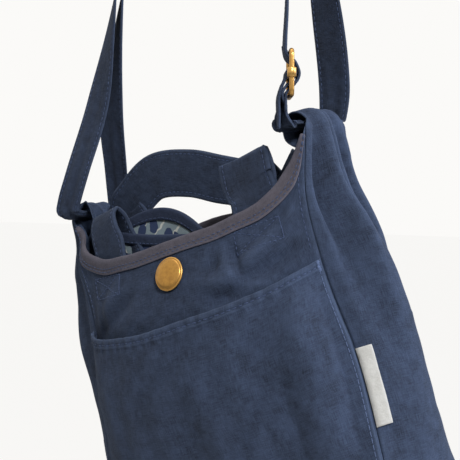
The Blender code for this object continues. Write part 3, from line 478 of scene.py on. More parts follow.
def canvas_gusset(name, side, seed):
    """A side of the body, over the strap at the top and down inside as the tunnel's sewn flap."""
    w = np.linspace(0, 1, GUSSET_COLUMNS + 1)
    z = wall_heights(np.full(len(w), SEAM_TOP_Z))
    wall = gusset_point(side, np.broadcast_to(w, z.shape), z)
    rows = [wall]
    for angle in np.radians(np.linspace(8, 180, 22)):
        drawn = 0.13 * ease(0, 0.5, angle) * ease(0, math.pi, math.pi - angle)
        share = 0.5 + (w - 0.5) * (0.99 - 0.39 * ease(0, math.pi, angle) - drawn)
        turned = gusset_point(side, share, np.full(len(w), SEAM_TOP_Z), TUNNEL_HALF * (1 - math.cos(angle)))
        rows.append((turned + (0, 0, TUNNEL_RISE * math.sin(angle)))[None])
    for down in np.linspace(0.08, 1.0, 12):
        share = 0.5 + (w - 0.5) * (0.6 - 0.15 * down)
        sunk = 2 * TUNNEL_HALF + (2.8 - 2 * TUNNEL_HALF) * ease(0.0, 0.9, down)
        rows.append(gusset_point(side, share, np.full(len(w), SEAM_TOP_Z - FLAP_LENGTH * down), sunk)[None])
    grid = np.concatenate(rows)
    normals = grid_normals(grid, (side, 0, 0))
    calm = ease(0, 9, edge_distance(grid))
    dents = crumple(grid * (1, 1, 0.5), 24.0, seed) * 2.2 + crumple(grid * (1, 1, 0.6), 8.0, seed + 3) * 0.45
    inside = np.arange(len(grid))[:, None] > len(wall) - 12
    grid = grid + normals * (dents * calm * np.where(inside, 0.35, 1.0))[..., None]
    grid[: len(wall), 0, 1] += 0.2
    grid[: len(wall), -1, 1] -= 0.2
    piece = cloth_sheet(name, grid, grid_normals(grid, (side, 0, 0)), CANVAS, navy_canvas)
    return piece


left_cloth = canvas_gusset("left_side_cloth", -1, 4.0)
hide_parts("gusset_left")
right_cloth = canvas_gusset("right_side_cloth", 1, 7.0)
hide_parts("gusset_right")

# Base cloth: rows run from the front foot to the back foot, columns from left to right
foot_u = np.linspace(-1, 1, 61)
front_foot = panel_point(foot_u * 0.995, np.full(61, BASE_Z), True)
back_foot = panel_point(foot_u * 0.995, np.full(61, BASE_Z), False)
share = np.linspace(0.012, 0.988, 31)[:, None, None]
base_grid = front_foot * (1 - share) + back_foot * share
bow = gusset_point(1, share[:, 0, 0], np.full(31, BASE_Z))[:, 0] - front_foot[-1, 0] - 0.8
base_grid[..., 0] += bow[:, None] * np.sign(foot_u) * np.abs(foot_u) ** 6
base_grid[..., 2] += crumple(base_grid, 30.0, 6.0) * 0.7 * ease(0, 14, edge_distance(base_grid))
base_cloth = cloth_sheet("base_cloth", base_grid, grid_normals(base_grid, (0, 0, -1)), CANVAS, navy_canvas)
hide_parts("base_panel")


# Rim tape
# Bias-cut cotton tape folded over the raw rims and sewn down with two rows of navy thread. It is
# taupe, woven finer than the canvas, and puckers a little along its stitches.
TAPE = 0.8
TAPE_LEG = 7.6
TAPE_CLEAR = 0.45
TAUPE = ("#565053", "#474245", "#757079")
taupe_tape = woven("brushed_cotton_bias_tape", *TAUPE, thread=0.6, fuzz=0.08, relief=0.25)


def thread_material(name, colour, groove_shade):
    """Twisted polyester thread: slanting plies that catch a little more light than the cloth, with painted
    shade in the grooves between them.
    """
    material, tree, shader = bare_material(name)
    place = add(tree, "TexCoord").outputs["Object"]
    ply = add(tree, "TexWave", {"bands_direction": "DIAGONAL"}, Vector=place, Scale=900.0, Distortion=1.5)
    plies = ply.outputs["Fac"]
    tone = add(tree, "Mix", {"data_type": "RGBA"}, Factor=plies, A=linear(groove_shade), B=linear(colour))
    tree.links.new(tone.outputs["Result"], shader.inputs["Base Color"])
    bump = add(tree, "Bump", Height=plies, Strength=0.3, Distance=0.0001)
    tree.links.new(bump.outputs[0], shader.inputs["Normal"])
    shader.inputs["Roughness"].default_value = 0.6
    return material


navy_thread = thread_material("navy_polyester_thread", "#45577a", "#222c42")
# Pale thread: the bar tacks, and a painted highlight along the pocket's right edge.
pale_thread_and_edge_highlight = thread_material("pale_blue_thread_and_painted_edge_highlight", "#6a7c9e", "#3e4b67")


def laid(piece, spots, out):
    """Where lines in towards bag points meet a finished piece of cloth, with its outward normals."""
    tree = BVHTree.FromObject(piece, bpy.context.evaluated_depsgraph_get())
    path, normals = [], []
    for spot, way in zip(np.asarray(spots), np.asarray(out)):
        start, ahead = in_frame(spot + way * 12.0), in_frame(spot + way * 11.0)
        heading = Vector(ahead - start).normalized()
        hit, normal, _, _ = tree.ray_cast(Vector(start), heading)
        if hit is not None:
            path.append(np.array(hit) * 1000)
            normals.append(np.array(normal if normal.dot(heading) < 0 else -normal))
    return np.array(path), np.array(normals)


def to_metres(points):
    """Millimetres of the shared frame to metres."""
    return np.asarray(points) * 0.001


def stitches(name, path, normals, material=navy_thread, length=2.3, gap=0.8, radius=0.3, to_frame=in_frame):
    """Row of stitches along a path that lies on cloth. Each dips into the cloth at both ends."""
    run = np.concatenate([[0], np.cumsum(np.linalg.norm(np.diff(path, axis=0), axis=1))])
    count = max(1, int(run[-1] / (length + gap)))
    at = ((np.arange(count) + 0.5) * run[-1] / count)[:, None] + np.array((-0.5, -0.4, 0, 0.4, 0.5)) * length

    def read(values):
        return np.stack([np.interp(at, run, values[:, k]) for k in range(3)], axis=-1)

    middle, out = read(np.asarray(path)), unit(read(np.asarray(normals)))
    side = unit(np.cross(np.gradient(middle, axis=1), out))
    rise = radius * np.array((-0.7, 0.2, 0.55, 0.2, -0.7))[:, None, None]
    size = radius * np.array((0.5, 0.95, 1.0, 0.95, 0.5))[:, None, None]
    turn = np.linspace(0, 2 * math.pi, 7)[:-1, None]
    ring = side[:, :, None] * np.cos(turn) + out[:, :, None] * np.sin(turn)
    points = middle[:, :, None] + out[:, :, None] * rise + ring * size
    index = np.arange(count * 30).reshape(count, 5, 6)
    ahead = np.roll(index, -1, axis=2)
    walls = np.stack([index[:, :-1], ahead[:, :-1], ahead[:, 1:], index[:, 1:]], axis=-1).reshape(-1, 4)
    caps = np.concatenate([index[:, 0, ::-1], index[:, -1]])
    mesh = bpy.data.meshes.new(name)
    mesh.from_pydata(to_frame(points.reshape(-1, 3)).tolist(), [], walls.tolist() + caps.tolist())
    return smooth_object(name, mesh, material)


def panel_frame(u, z, front):
    """Points of a panel with their outward normals."""
    here = panel_point(u, z, front)
    across = panel_point(u + 0.01, z, front) - panel_point(u - 0.01, z, front)
    up = panel_point(u, z + 0.5, front) - panel_point(u, z - 0.5, front)
    return here, unit(np.cross(across, up) * (1 if front else -1))


def rim_frames(rim, front, count):
    """Along a rim: its points, outward normals, the way down the cloth, and the tape's leg."""
    u = np.linspace(-0.985, 0.985, count)
    here, normal = panel_frame(u, rim(u), front)
    down = np.cross(normal, unit(np.gradient(here, axis=0)))
    down *= -np.sign(down[:, 2:3])
    leg = np.full(count, TAPE_LEG)
    for _ in range(30):
        end = here + down * leg[:, None]
        leg = np.where(np.abs(end[:, 0]) > seam_width(end[:, 2]) - 1.5, leg * 0.93, leg)
    leg = np.convolve(np.pad(leg, 6, mode="edge"), np.ones(13) / 13, mode="valid")
    return here, normal, down, leg


def rim_tape(name, rim, front):
    """Tape folded over a rim, with a bead of cloth in its fold and a hand-cut waver at its edge."""
    count = 240
    here, normal, down, leg = rim_frames(rim, front, count)
    reach = CANVAS / 2 + TAPE_CLEAR + TAPE / 2
    rows = []
    for way in (1, -1):
        steps = np.linspace(1, 0.1, 9) if way == 1 else np.linspace(0.1, 1, 9)
        for share in steps:
            end = here + down * (leg * share)[:, None]
            foot, out = panel_frame(end[:, 0] / seam_width(end[:, 2]), end[:, 2], front)
            pinch = -0.22 * np.exp(-(((share - 0.66) / 0.12) ** 2)) if share < 0.95 else 0.0
            rows.append(foot + out * way * (reach + pinch))
        if way == 1:
            for angle in np.linspace(25, 155, 6):
                a = math.radians(angle)
                rows.append(here + normal * reach * math.cos(a) - down * (reach * math.sin(a) * 0.75))
    grid = np.array(rows)
    grid = grid + crumple(grid, 5.0, 40.0)[..., None] * 0.12 * grid_normals(grid, (0, -1, 0))
    tape = cloth_sheet(name, grid, grid_normals(grid, (0, -1 if front else 1, 0)), TAPE, taupe_tape)
    for row, share in enumerate((0.56, 0.8)):
        for way, face in ((1, "outer"), (-1, "inner")):
            end = here + down * (leg * share)[:, None]
            foot, out = panel_frame(end[:, 0] / seam_width(end[:, 2]), end[:, 2], front)
            line = foot + out * way * (reach + TAPE / 2 - 0.12)
            row_name = f"{name}_{face}_stitches_{row + 1}"
            stitches(row_name, line, out * way, length=2.2, gap=0.9, radius=0.26)
    return tape


front_tape = rim_tape("front_rim_tape", front_rim, True)
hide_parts("binding_front")
back_tape = rim_tape("back_rim_tape", back_rim, False)
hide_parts("binding_back")


# Front pocket
# A second layer of canvas over the whole front, sewn in with the side and base seams. Its mouth is
# folded to a narrow hem and topstitched, and stands off the body because it is cut a little wide.
# The grid has finer rows down to MOUTH_ROWS below the mouth; the hem is folded HEM_FOLD deep
MOUTH_ROWS = 11.0
POCKET_SLACK = 9.0
HEM_FOLD = 5.2
POCKET_STAND = 0.5


def pocket_rim(u):
    """Height of the pocket's mouth at panel place u."""
    return POCKET_CORNER_Z - 15.0 * (1 - np.abs(u) ** 2.4)


pocket_u = np.linspace(-0.99, 0.99, 181)
pocket_z = wall_heights(pocket_rim(pocket_u) - MOUTH_ROWS)
hem_rows = pocket_rim(pocket_u) - MOUTH_ROWS + MOUTH_ROWS * np.linspace(0.06, 1, 18)[:, None]
pocket_z = np.concatenate([pocket_z, hem_rows])
pocket_place = np.broadcast_to(pocket_u, pocket_z.shape)
pocket_flat = panel_point(pocket_place, pocket_z, True)
pocket_normals = grid_normals(pocket_flat, (0, -1, 0))
in_hem = ease(HEM_FOLD + 0.5, HEM_FOLD - 0.5, pocket_rim(pocket_u) - pocket_z)
pocket_lift = POCKET_SLACK * ease(-125.0, 0, pocket_z - pocket_rim(pocket_u)) * (1 - pocket_place**4)
side_calm = ease(0, 12, edge_distance(pocket_flat) + 30 * ease(-60, -20, pocket_z))
# Long soft folds: a bulge beside the right seam with a valley behind it, and slack below the hem
bulge = np.zeros(pocket_place.shape)
for middle, width, height in ((0.80, 0.10, 4.6), (0.93, 0.035, -3.6), (-0.72, 0.12, 2.2), (-0.9, 0.05, -1.6)):
    bulge += height * np.exp(-(((pocket_place - middle) / width) ** 2))
POCKET_CREASES = (
    (60, -34, 66, -150, 7.0, 3.4),
    (40, -30, 47, -150, 7.0, -2.8),
    (8, -46, 24, -150, 9.0, 2.8),
    (-22, -44, -34, -150, 8.0, -2.4),
    (-50, -36, -57, -150, 7.0, 2.2),
    (70, -60, 10, -104, 7.0, -2.0),
    (20, -50, -40, -84, 7.0, 1.8),
)
below_mouth = pocket_rim(pocket_u) - pocket_z
from_sides = 1 - pocket_place**6
drape = creased(pocket_flat[..., 0], pocket_z, POCKET_CREASES) * ease(8, 26, below_mouth) * from_sides
bulge_share = ease(-140, -100, pocket_z) * ease(-15, -60, pocket_z) * ease(1.0, 0.97, np.abs(pocket_place))
drape = drape + bulge * bulge_share
dents = crumple(pocket_flat * (1.0, 1.0, 0.45), 28.0, 12.0) * 3.0 + crumple(pocket_flat, 11.0, 15.0) * 0.5
pucker = 0.34 * np.sin(pocket_flat[..., 0] * 0.92 + crumple(pocket_flat, 20.0, 17.0) * 2.6)
stitch_row = pocket_rim(pocket_u) - HEM_FOLD + 1.8
near_row = np.exp(-(((pocket_z - stitch_row) / 4.5) ** 2))
pocket_thick = CANVAS + 0.8 * in_hem - 0.55 * np.exp(-(((pocket_z - stitch_row) / 0.9) ** 2))
pocket_folds = np.maximum(dents * side_calm + drape, -0.4 - 0.6 * pocket_lift)
pocket_move = pocket_lift + pocket_folds + pucker * near_row * from_sides
pocket_out = CANVAS / 2 + POCKET_STAND + pocket_thick / 2 + pocket_move
pocket_grid = pocket_flat + pocket_normals * pocket_out[..., None]
pocket_faces = grid_normals(pocket_grid, (0, -1, 0))
pocket_cloth = cloth_sheet("pocket_cloth", pocket_grid, pocket_faces, pocket_thick, navy_canvas)
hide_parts("front_pocket")
surface = pocket_grid + pocket_faces * (pocket_thick / 2 - 0.05)[..., None]


def along_heights(grid, heights, wanted):
    """Path over a grid: the point of every column that is at the wanted height."""
    path = []
    for column in range(grid.shape[1]):
        path.append([np.interp(wanted[column], heights[:, column], grid[:, column, k]) for k in range(3)])
    return np.array(path)


hem_out = along_heights(pocket_faces, pocket_z, stitch_row)[3:-3]
hem_under = pocket_grid - pocket_faces * (pocket_thick / 2 - 0.05)[..., None]
for ending, cloth, way in (("", surface, 1), ("_inside", hem_under, -1)):
    hem_line = along_heights(cloth, pocket_z, stitch_row)[3:-3]
    stitches("pocket_hem_stitches" + ending, hem_line, hem_out * way, length=2.4, gap=0.9, radius=0.3)


# Side seams
# The body is sewn inside out, so outside there is only a tight valley. The pocket's right edge carries
# a continuous pale line drawn as thread, a painted highlight where its fold catches the light, and a bar tack
# of pale thread holds each mouth end.
SEAM_STITCH_INSET = 3.2
BAR_TACK_HALF = 1.1


def seam_line(side, low, high, inward):
    """Line on the front panel beside a side seam, with its normals."""
    z = np.linspace(low, high, 60)
    return panel_frame(side * (1 - inward / seam_width(z)), z, True)


for side, end in ((-1, "left"), (1, "right")):
    line, out = seam_line(side, POCKET_CORNER_Z + 6, SEAM_TOP_Z - 9, SEAM_STITCH_INSET)
    line, out = laid(front_cloth, line, out)
    # On the right the pocket's edge line is pale: a painted highlight where its fold catches the light.
    edge_thread_and_highlight = pale_thread_and_edge_highlight if side > 0 else navy_thread
    stitches(f"{end}_seam_stitches", line, out, radius=0.26, to_frame=to_metres)
    column = int(np.argmin(np.abs(pocket_u - side * 0.97)))
    edge, lifts = surface[12:-3, column], pocket_faces[12:-3, column]
    stitches(f"{end}_pocket_edge_stitches_and_highlight", edge, lifts, edge_thread_and_highlight, length=3.0, gap=0.25, radius=0.24)
    corner, lifts = surface[-10:-1, column], pocket_faces[-10:-1, column]
    wide = unit(np.cross(lifts, np.gradient(corner, axis=0))) * BAR_TACK_HALF
    zigzag = np.repeat(corner, 2, axis=0)
    zigzag[::2] += wide
    zigzag[1::2] -= wide
    zigzag = np.concatenate([zigzag, zigzag[-1:]])
    lifts = np.repeat(lifts, 2, axis=0)
    lifts = np.concatenate([lifts, lifts[-1:]])
    stitches(f"{end}_bar_tack", zigzag, lifts, pale_thread_and_edge_highlight, length=2.3, gap=0.05, radius=0.3)


# Side label
# A folded woven tape in the right seam, left bare. It is cream, with a fine rib and soft edges.
LABEL_TOP_Z = -64.0
LABEL_LENGTH = 40.0
LABEL_WIDTH = 8.5
LABEL_THICK = 0.3
CREAM = ("#c9c4b8", "#b5b0a3", "#dcd8cd")
# Round the folded label: share of its width, and how far it stands off the canvas
LABEL_FOLD = (
    (0, 0.75), (0.3, 1.45), (0.6, 1.4), (0.85, 1.35), (0.97, 1.3),
    (1.0, 1.05), (0.97, 0.85), (0.6, 0.8), (0, 0.35),
)
cream_label = woven("woven_cotton_label", *CREAM, thread=0.45, fuzz=0.04, relief=0.2)
label_z = np.linspace(LABEL_TOP_Z - LABEL_LENGTH, LABEL_TOP_Z, 41)
label_start = gusset_point(1, 0.0, label_z)
label_way = unit(gusset_point(1, 0.15, label_z) - label_start)
label_out = np.cross(label_way, np.gradient(label_start, axis=0))
label_out *= np.sign(label_out[:, :1]) / np.linalg.norm(label_out, axis=-1, keepdims=True)
label_columns = []
for share, stand in LABEL_FOLD:
    curl = 0.35 * np.sin((label_z - LABEL_TOP_Z) / 9.0) * share
    lifted = label_out * (CANVAS / 2 + stand + curl)[:, None]
    label_columns.append(label_start + label_way * LABEL_WIDTH * share + lifted)
label_grid = np.array(label_columns).transpose(1, 0, 2)
label_faces = grid_normals(label_grid, (1, -1, 0))
label_cloth = cloth_sheet("label_cloth", label_grid, label_faces, LABEL_THICK, cream_label)
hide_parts("side_label")


# Handles
# Canvas folded in four and topstitched down both edges, 28 mm wide, with its ends sewn inside the
# rim by a crossed box. The back handle stands up; the front one has flopped down into the mouth.
HANDLE_WIDTH = 28.0
HANDLE_THICK = 2.4
HANDLE_X = 53.0
HANDLE_SEWN = 28.0
# Half the body's width at the height where the handles are sewn
WIDTH_AT_HANDLES = 81.0
HANDLE_CLEAR = 0.8
HANDLE_STITCH_INSET = 2.6
STRAP_NAVY = ("#30394a", "#1e2129", "#4a566c")
navy_strap = woven("folded_cotton_canvas_strap", *STRAP_NAVY, thread=0.9, fuzz=0.06, relief=0.35)


def spline(points, steps):
    """Rows of numbers on a smooth curve through the given rows."""
    rows = [np.array(p, float) for p in points]
    padded = [2 * rows[0] - rows[1], *rows, 2 * rows[-1] - rows[-2]]
    curve = []
    for a, b, c, d in zip(padded, padded[1:], padded[2:], padded[3:]):
        for t in np.arange(steps) / steps:
            cubic = (3 * b - a - 3 * c + d) * t**3
            curve.append(0.5 * (2 * b + (c - a) * t + (2 * a - 5 * b + 4 * c - d) * t**2 + cubic))
    return np.array([*curve, rows[-1]])


def tube_faces(count, ring, closed=False):
    """Faces of a tube of rings of points, capped at its ends or closed on itself."""
    index = np.arange(count * ring).reshape(count, ring)
    near = index if closed else index[:-1]
    far = np.roll(index, -1, axis=0) if closed else index[1:]
    walls = np.stack([near, np.roll(near, -1, axis=1), np.roll(far, -1, axis=1), far], axis=-1).reshape(-1, 4)
    return walls.tolist() + ([] if closed else [index[0, ::-1].tolist(), index[-1].tolist()])


def band(name, stations, material, full, inset, to_frame, seed, steps=10, limp=0.35):
    """Flat sewn band of the full width. A station is x, y, z, width direction, width, thickness."""
    table = spline(stations, steps)
    spot = table[:, :3]
    along = unit(np.gradient(spot, axis=0))
    wide = unit(table[:, 3:6] - along * np.sum(table[:, 3:6] * along, axis=-1, keepdims=True))
    face = np.cross(along, wide)
    width, thick = table[:, 6], table[:, 7]
    tight = np.clip((full - width) / (full * 0.44), 0, 1)
    side = np.concatenate([np.linspace(-1, 1, 31), np.linspace(1, -1, 31)])
    upper = np.concatenate([np.ones(31), -np.ones(31)])
    seams = np.exp(-(((1 - np.abs(side)) * full / 2 - inset) / 0.75) ** 2)
    bevel = np.sqrt(np.clip(1 - np.clip((np.abs(side) - 0.93) / 0.07, 0, 1) ** 2, 0.0, 1))
    half = upper * (bevel * (1 - 0.26 * seams) + 0.02)
    run = np.concatenate([[0], np.cumsum(np.linalg.norm(np.diff(spot, axis=0), axis=1))])
    gather = tight[:, None] * 0.9 * np.sin(side * 4.4 * math.pi / 2 + 0.5)
    places = np.stack(np.broadcast_arrays(run[:, None], 9 * side, 0.0), axis=-1)
    relax = (1 - tight[:, None]) * limp * crumple(places, 14.0, seed)
    grid = spot[:, None] + wide[:, None] * (side * width[:, None] / 2)[..., None]
    rise = half * thick[:, None] / 2 * (1 - 0.45 * tight[:, None]) + gather + relax
    grid = grid + face[:, None] * rise[..., None]
    mesh = bpy.data.meshes.new(name)
    mesh.from_pydata(to_frame(grid.reshape(-1, 3)).tolist(), [], tube_faces(*grid.shape[:2]))
    threads = np.stack(np.broadcast_arrays(side * full / 2, run[:, None]), axis=-1)
    lay_threads(mesh, threads.reshape(-1, 2))
    outward(mesh)
    piece = smooth_object(name, mesh, material)
    for edge, end in ((-1, "left"), (1, "right")):
        place = edge * (1 - 2 * inset / full)
        for way, label in ((1, "outer"), (-1, "inner")):
            columns = slice(0, 31) if way == 1 else slice(31, 62)
            k = int(np.argmin(np.abs(side[columns] - place))) + columns.start
            line = grid[:, k] - face * way * 0.06
            row_name = f"{name}_{end}_{label}_stitches_1"
            stitches(row_name, line, face * way, to_frame=to_frame, length=2.3, gap=0.8, radius=0.25)
    return piece


def handle_foot(side, front):
    """Stations of the sewn end of a handle, inside its panel, from the end up to the rim."""
    stations = []
    handle_gap = CANVAS / 2 + TAPE_CLEAR + TAPE + HANDLE_CLEAR
    rim = front_rim if front else back_rim
    for share in (0.0, 0.5, 1.0):
        top = float(rim((HANDLE_X + (HANDLE_WIDTH / 2 if front else 0.0)) / WIDTH_AT_HANDLES))
        z = top - HANDLE_SEWN * (1 - share)
        middle, half = HANDLE_X / seam_width(z) * side, HANDLE_WIDTH / 2 / seam_width(z)
        line = panel_point(middle + half * np.arange(-2, 3) / 2, z, front)
        across = unit(line[-1] - line[0])
        inward = np.cross(unit(panel_point(middle, z + 1.0, front) - line[2]), across)
        inward = inward if (inward[1] > 0) == front else -inward
        chord = (line[0] + line[-1]) / 2
        deep = float(np.max((line - chord) @ inward)) + handle_gap + HANDLE_THICK / 2
        stations.append((*(chord + inward * deep), *across, HANDLE_WIDTH, HANDLE_THICK))
    return stations


def turned_back(stations):
    """The same stations walked from the other end."""
    return [(*s[:3], -s[3], -s[4], -s[5], *s[6:]) for s in reversed(stations)]


size = (HANDLE_WIDTH, HANDLE_THICK)
left_foot, right_foot = handle_foot(-1, False), handle_foot(1, False)
foot_y, foot_z = left_foot[-1][1:3]
back_arch = [
    (-58, foot_y, foot_z + 10, 1, 0, -0.25, *size),
    (-51, foot_y - 1, 57, 0.75, 0, -0.65, *size),
    (-30, foot_y - 2, 65, 0.12, 0, -1, *size),
    (-6, foot_y - 2, 59.5, -0.3, 0, -1, *size),
    (14, foot_y - 2.4, 49.5, -0.5, 0, -0.88, *size),
    (31, foot_y - 2.6, 41.5, -0.62, 0, -0.78, 26.5, HANDLE_THICK),
    (44, foot_y - 1.6, 35, -0.84, 0, -0.5, 26.0, HANDLE_THICK),
]
back_run = [*left_foot, *back_arch, *turned_back(right_foot)]
handle_make = (navy_strap, HANDLE_WIDTH, HANDLE_STITCH_INSET, in_frame)
back_handle = band("back_handle_band", back_run, *handle_make, seed=2.0)
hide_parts("back_handle")
left_foot, right_foot = handle_foot(-1, True), handle_foot(1, True)
foot_y = left_foot[-1][1]
wide = (33.5, HANDLE_THICK)
slack = [
    (-54.0, foot_y + 1.4, 37, 0.96, -0.28, 0, *size),
    (-55.4, foot_y + 4.2, 45.5, 0.94, -0.34, 0, *size),
    (-54.6, foot_y + 8.4, 50, 0.94, -0.34, 0, *size),
    (-53, foot_y + 12.6, 44, 0.94, -0.34, 0, *size),
    (-51, foot_y + 13, 30, 0.94, -0.32, 0.12, *size),
    (-43, foot_y + 8, 11, 0.82, -0.2, 0.5, *size),
    (-28, foot_y - 2, -1, 0.4, 0, 0.9, *size),
    (0, foot_y - 6, -5, 0, 0, 1, *size),
    (28, foot_y - 2, -1, -0.4, 0, 0.9, *size),
    (46, foot_y + 2.5, 17, -0.9, 0, 0.4, *size),
    (50, foot_y + 4.6, 37, -1, 0, 0, *wide),
    (50, foot_y + 3, 50, -1, 0, -0.08, *wide),
    (50, foot_y + 1, 37, -1, 0, 0, *wide),
]
front_run = [*left_foot, *slack, *turned_back(right_foot)]
front_handle = band("front_handle_band", front_run, *handle_make, seed=5.0)
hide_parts("front_handle")

# Crossed boxes: through the panel, so they show outside below the tape
BOX_HALF = 12.5
BOX_HEIGHT = 12.0
BOX_DROP = 9.0
for front, face, rim in ((True, "front", front_rim), (False, "back", back_rim)):
    for side, end in ((-1, "left"), (1, "right")):
        top = float(rim(HANDLE_X / WIDTH_AT_HANDLES)) - BOX_DROP
        tilt = (1.2 if front else 0.4) * side
        corners = [(-1, 0), (1, 0), (1, -1), (-1, -1), (-1, 0), (1, -1), (1, 0), (-1, -1)]
        path = [(HANDLE_X * side + BOX_HALF * i, top + BOX_HEIGHT * j + tilt * i) for i, j in corners]
        walk = np.concatenate([np.linspace(a, b, 12)[:-1] for a, b in zip(path, path[1:])] + [[path[-1]]])
        spot, out = panel_frame(walk[:, 0] / seam_width(walk[:, 1]), walk[:, 1], front)
        line, out = laid(front_cloth if front else back_cloth, spot, out)
        box_name = f"{face}_{end}_box_stitches"
        stitches(box_name, line, out, length=2.1, gap=0.7, radius=0.28, to_frame=to_metres)


# Shoulder strap
# One long band of folded canvas, 25 mm wide and topstitched along both edges. It is gathered narrow
# where it runs through the tunnels, and its sewn end is looped round the slider's bar.
STRAP_WIDTH = 25.0
STRAP_THICK = 1.4
STRAP_STITCH_INSET = 2.4
TUNNEL_STRAP_RISE = 3.6
SLIDER_PLACE = np.array((62.5, -24.5, 106.0))
SLIDER_TURN = math.radians(-56.0)
SLIDER_WIRE = 1.3
SLIDER_HALF_HEIGHT = 11.2
SLIDER_HALF_WIDTH = 14.0 + SLIDER_WIRE
slider_across = np.array((math.cos(SLIDER_TURN), math.sin(SLIDER_TURN), 0.0))
slider_up = np.array((0.0, 0.0, 1.0))
slider_off = np.cross(slider_up, slider_across)
flat = (STRAP_WIDTH, STRAP_THICK)


def hang(point):
    """Point of the leaning bag in the upright millimetres of the strap."""
    x, y, z = point
    c, s = math.cos(LEAN), math.sin(LEAN)
    return np.array((x * c - z * s, y, x * s + z * c))


def turn(angle):
    """Level width direction at an angle in degrees from the bag's own."""
    return (math.cos(math.radians(angle)), math.sin(math.radians(angle)), 0.0)


def threaded(points):
    """Strap stations at the slider from (distance off its plane, height) pairs."""
    return [(*(SLIDER_PLACE + slider_off * n + slider_up * z), *slider_across, *flat) for n, z in points]


def tunnel_run(side, backward, front=0.0):
    """Strap stations through a tunnel, with the bends before and behind it."""
    across = hang((1.0, 0.0, 0.0))
    run = []
    inside = [(0, front + (1.0 - front) * w) for w in (-0.03, 0.2, 0.5, 0.8, 1.03)]
    for end, w in [(-1, front), *inside, (1, 1.0)]:
        place = gusset_point(side, w, SEAM_TOP_Z, TUNNEL_HALF)
        place[2] = SEAM_TOP_Z + TUNNEL_STRAP_RISE
        bends = ((4.6, 1.9, 15.0), (6.6, 6.2, 17.0)) if end else ((0.0, 0.0, 14.0),)
        near = []
        for out, up, wide in bends:
            near.append((*(hang(place) + np.array((0, end * out, up))), *across, wide, 2.2 if end else 2.6))
        run += near[::-1] if end < 0 else near
    return run if backward else run[::-1]


# At the slider: distances of the strap's middle from the bar and from the frame's plane
loop = SLIDER_WIRE + 0.3 + STRAP_THICK / 2
lane = SLIDER_WIRE + 0.75 + STRAP_THICK / 2
pitch = STRAP_THICK + 0.3
high = SLIDER_HALF_HEIGHT
cross = (high - lane) * 0.8
inner = cross - 1.5 * pitch
strap_run = [
    *threaded([
        (-lane - 2 * pitch, -high - 17), (-lane - 2 * pitch, -high - 8), (-lane - 2 * pitch, -high - 1),
        (-lane - pitch, -high * 0.55), (-loop * 1.15, -high * 0.2), (-loop * 0.87, loop * 0.5), (0.0, loop),
        (loop * 0.87, loop * 0.5), (loop * 0.94, -loop * 0.4), (loop * 0.5, -inner * 0.62),
        (-loop * 0.3, -inner * 1.05), (-lane * 0.9 - pitch * 0.7, -high * 0.73), (-lane - pitch, -high - 0.5),
    ]),
    (59.4, -26.4, 90.5, 0.62, -0.78, 0.0, 20.0, 1.8),
    (59.2, -27.0, 86.0, 0.76, -0.62, 0.1, 15.0, 2.2),
    (59.2, -25.2, 81.6, 0.88, -0.4, 0.24, 13.5, 2.4),
    *tunnel_run(1, True)[2:],
    (60.0, 27.0, 108.0, *turn(-10), 22.0, 1.6),
    (57.5, 21.0, 150.0, *turn(-22), *flat),
    (50.0, 11.0, 220.0, *turn(-55), *flat),
    (38.0, 3.0, 300.0, *turn(-84), *flat),
    (25.0, 0.0, 364.8, *turn(-90), *flat),
    (19.84, 0.0, 384.9, *turn(-90), *flat),
    (4.0, 0.0, 396.6, *turn(-90), *flat),
    (-11.84, 0.0, 384.9, *turn(-90), *flat),
    (-17.0, 0.0, 364.8, *turn(-90), *flat),
    (-42.0, 1.6, 290.0, *turn(-86), *flat),
    (-62.0, 3.0, 210.0, *turn(-68), *flat),
    (-76.0, 4.6, 140.0, *turn(-40), *flat),
    (-85.0, 9.0, 92.0, *turn(-12), 22.0, 1.6),
    (-92.5, 22.0, 57.0, *turn(0), 18.0, 2.0),
    *tunnel_run(-1, False, 0.26),
    (-92.0, -14.5, 57.0, *turn(0), 18.0, 2.0),
    (-87.5, -2.0, 95.0, *turn(-12), 22.0, 1.6),
    (-79.2, 1.2, 140.0, *turn(-40), *flat),
    (-65.6, 1.0, 210.0, *turn(-68), *flat),
    (-46.0, 0.4, 290.0, *turn(-86), *flat),
    (-21.0, 0.0, 364.8, *turn(-90), *flat),
    (-14.16, 0.0, 389.0, *turn(-90), *flat),
    (4.0, 0.0, 400.0, *turn(-90), *flat),
    (22.16, 0.0, 389.0, *turn(-90), *flat),
    (29.0, 0.0, 364.8, *turn(-90), *flat),
    (42.5, -3.0, 300.0, *turn(-84), *flat),
    (54.0, -12.0, 220.0, *turn(-72), *flat),
    (59.0, -22.0, 150.0, *turn(-58), *flat),
    *threaded([
        (-lane, high + 6), (-lane, high + 0.5), (-lane * 0.5, high * 0.73),
        (lane * 0.6, (high + loop) * 0.44), (loop + pitch * 0.8, loop * 0.85),
        (loop + pitch * 1.05, -loop * 0.4), (loop + pitch * 0.35, -cross * 0.6),
        (0.0, -cross), (-lane * 0.85, -high * 0.9), (-lane, -high - 1), (-lane, -high - 8),
    ]),
]
strap_make = (navy_strap, STRAP_WIDTH, STRAP_STITCH_INSET, upright)
strap = band("strap_band", strap_run, *strap_make, seed=8.0, steps=8, limp=0.06)
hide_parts("shoulder_strap")


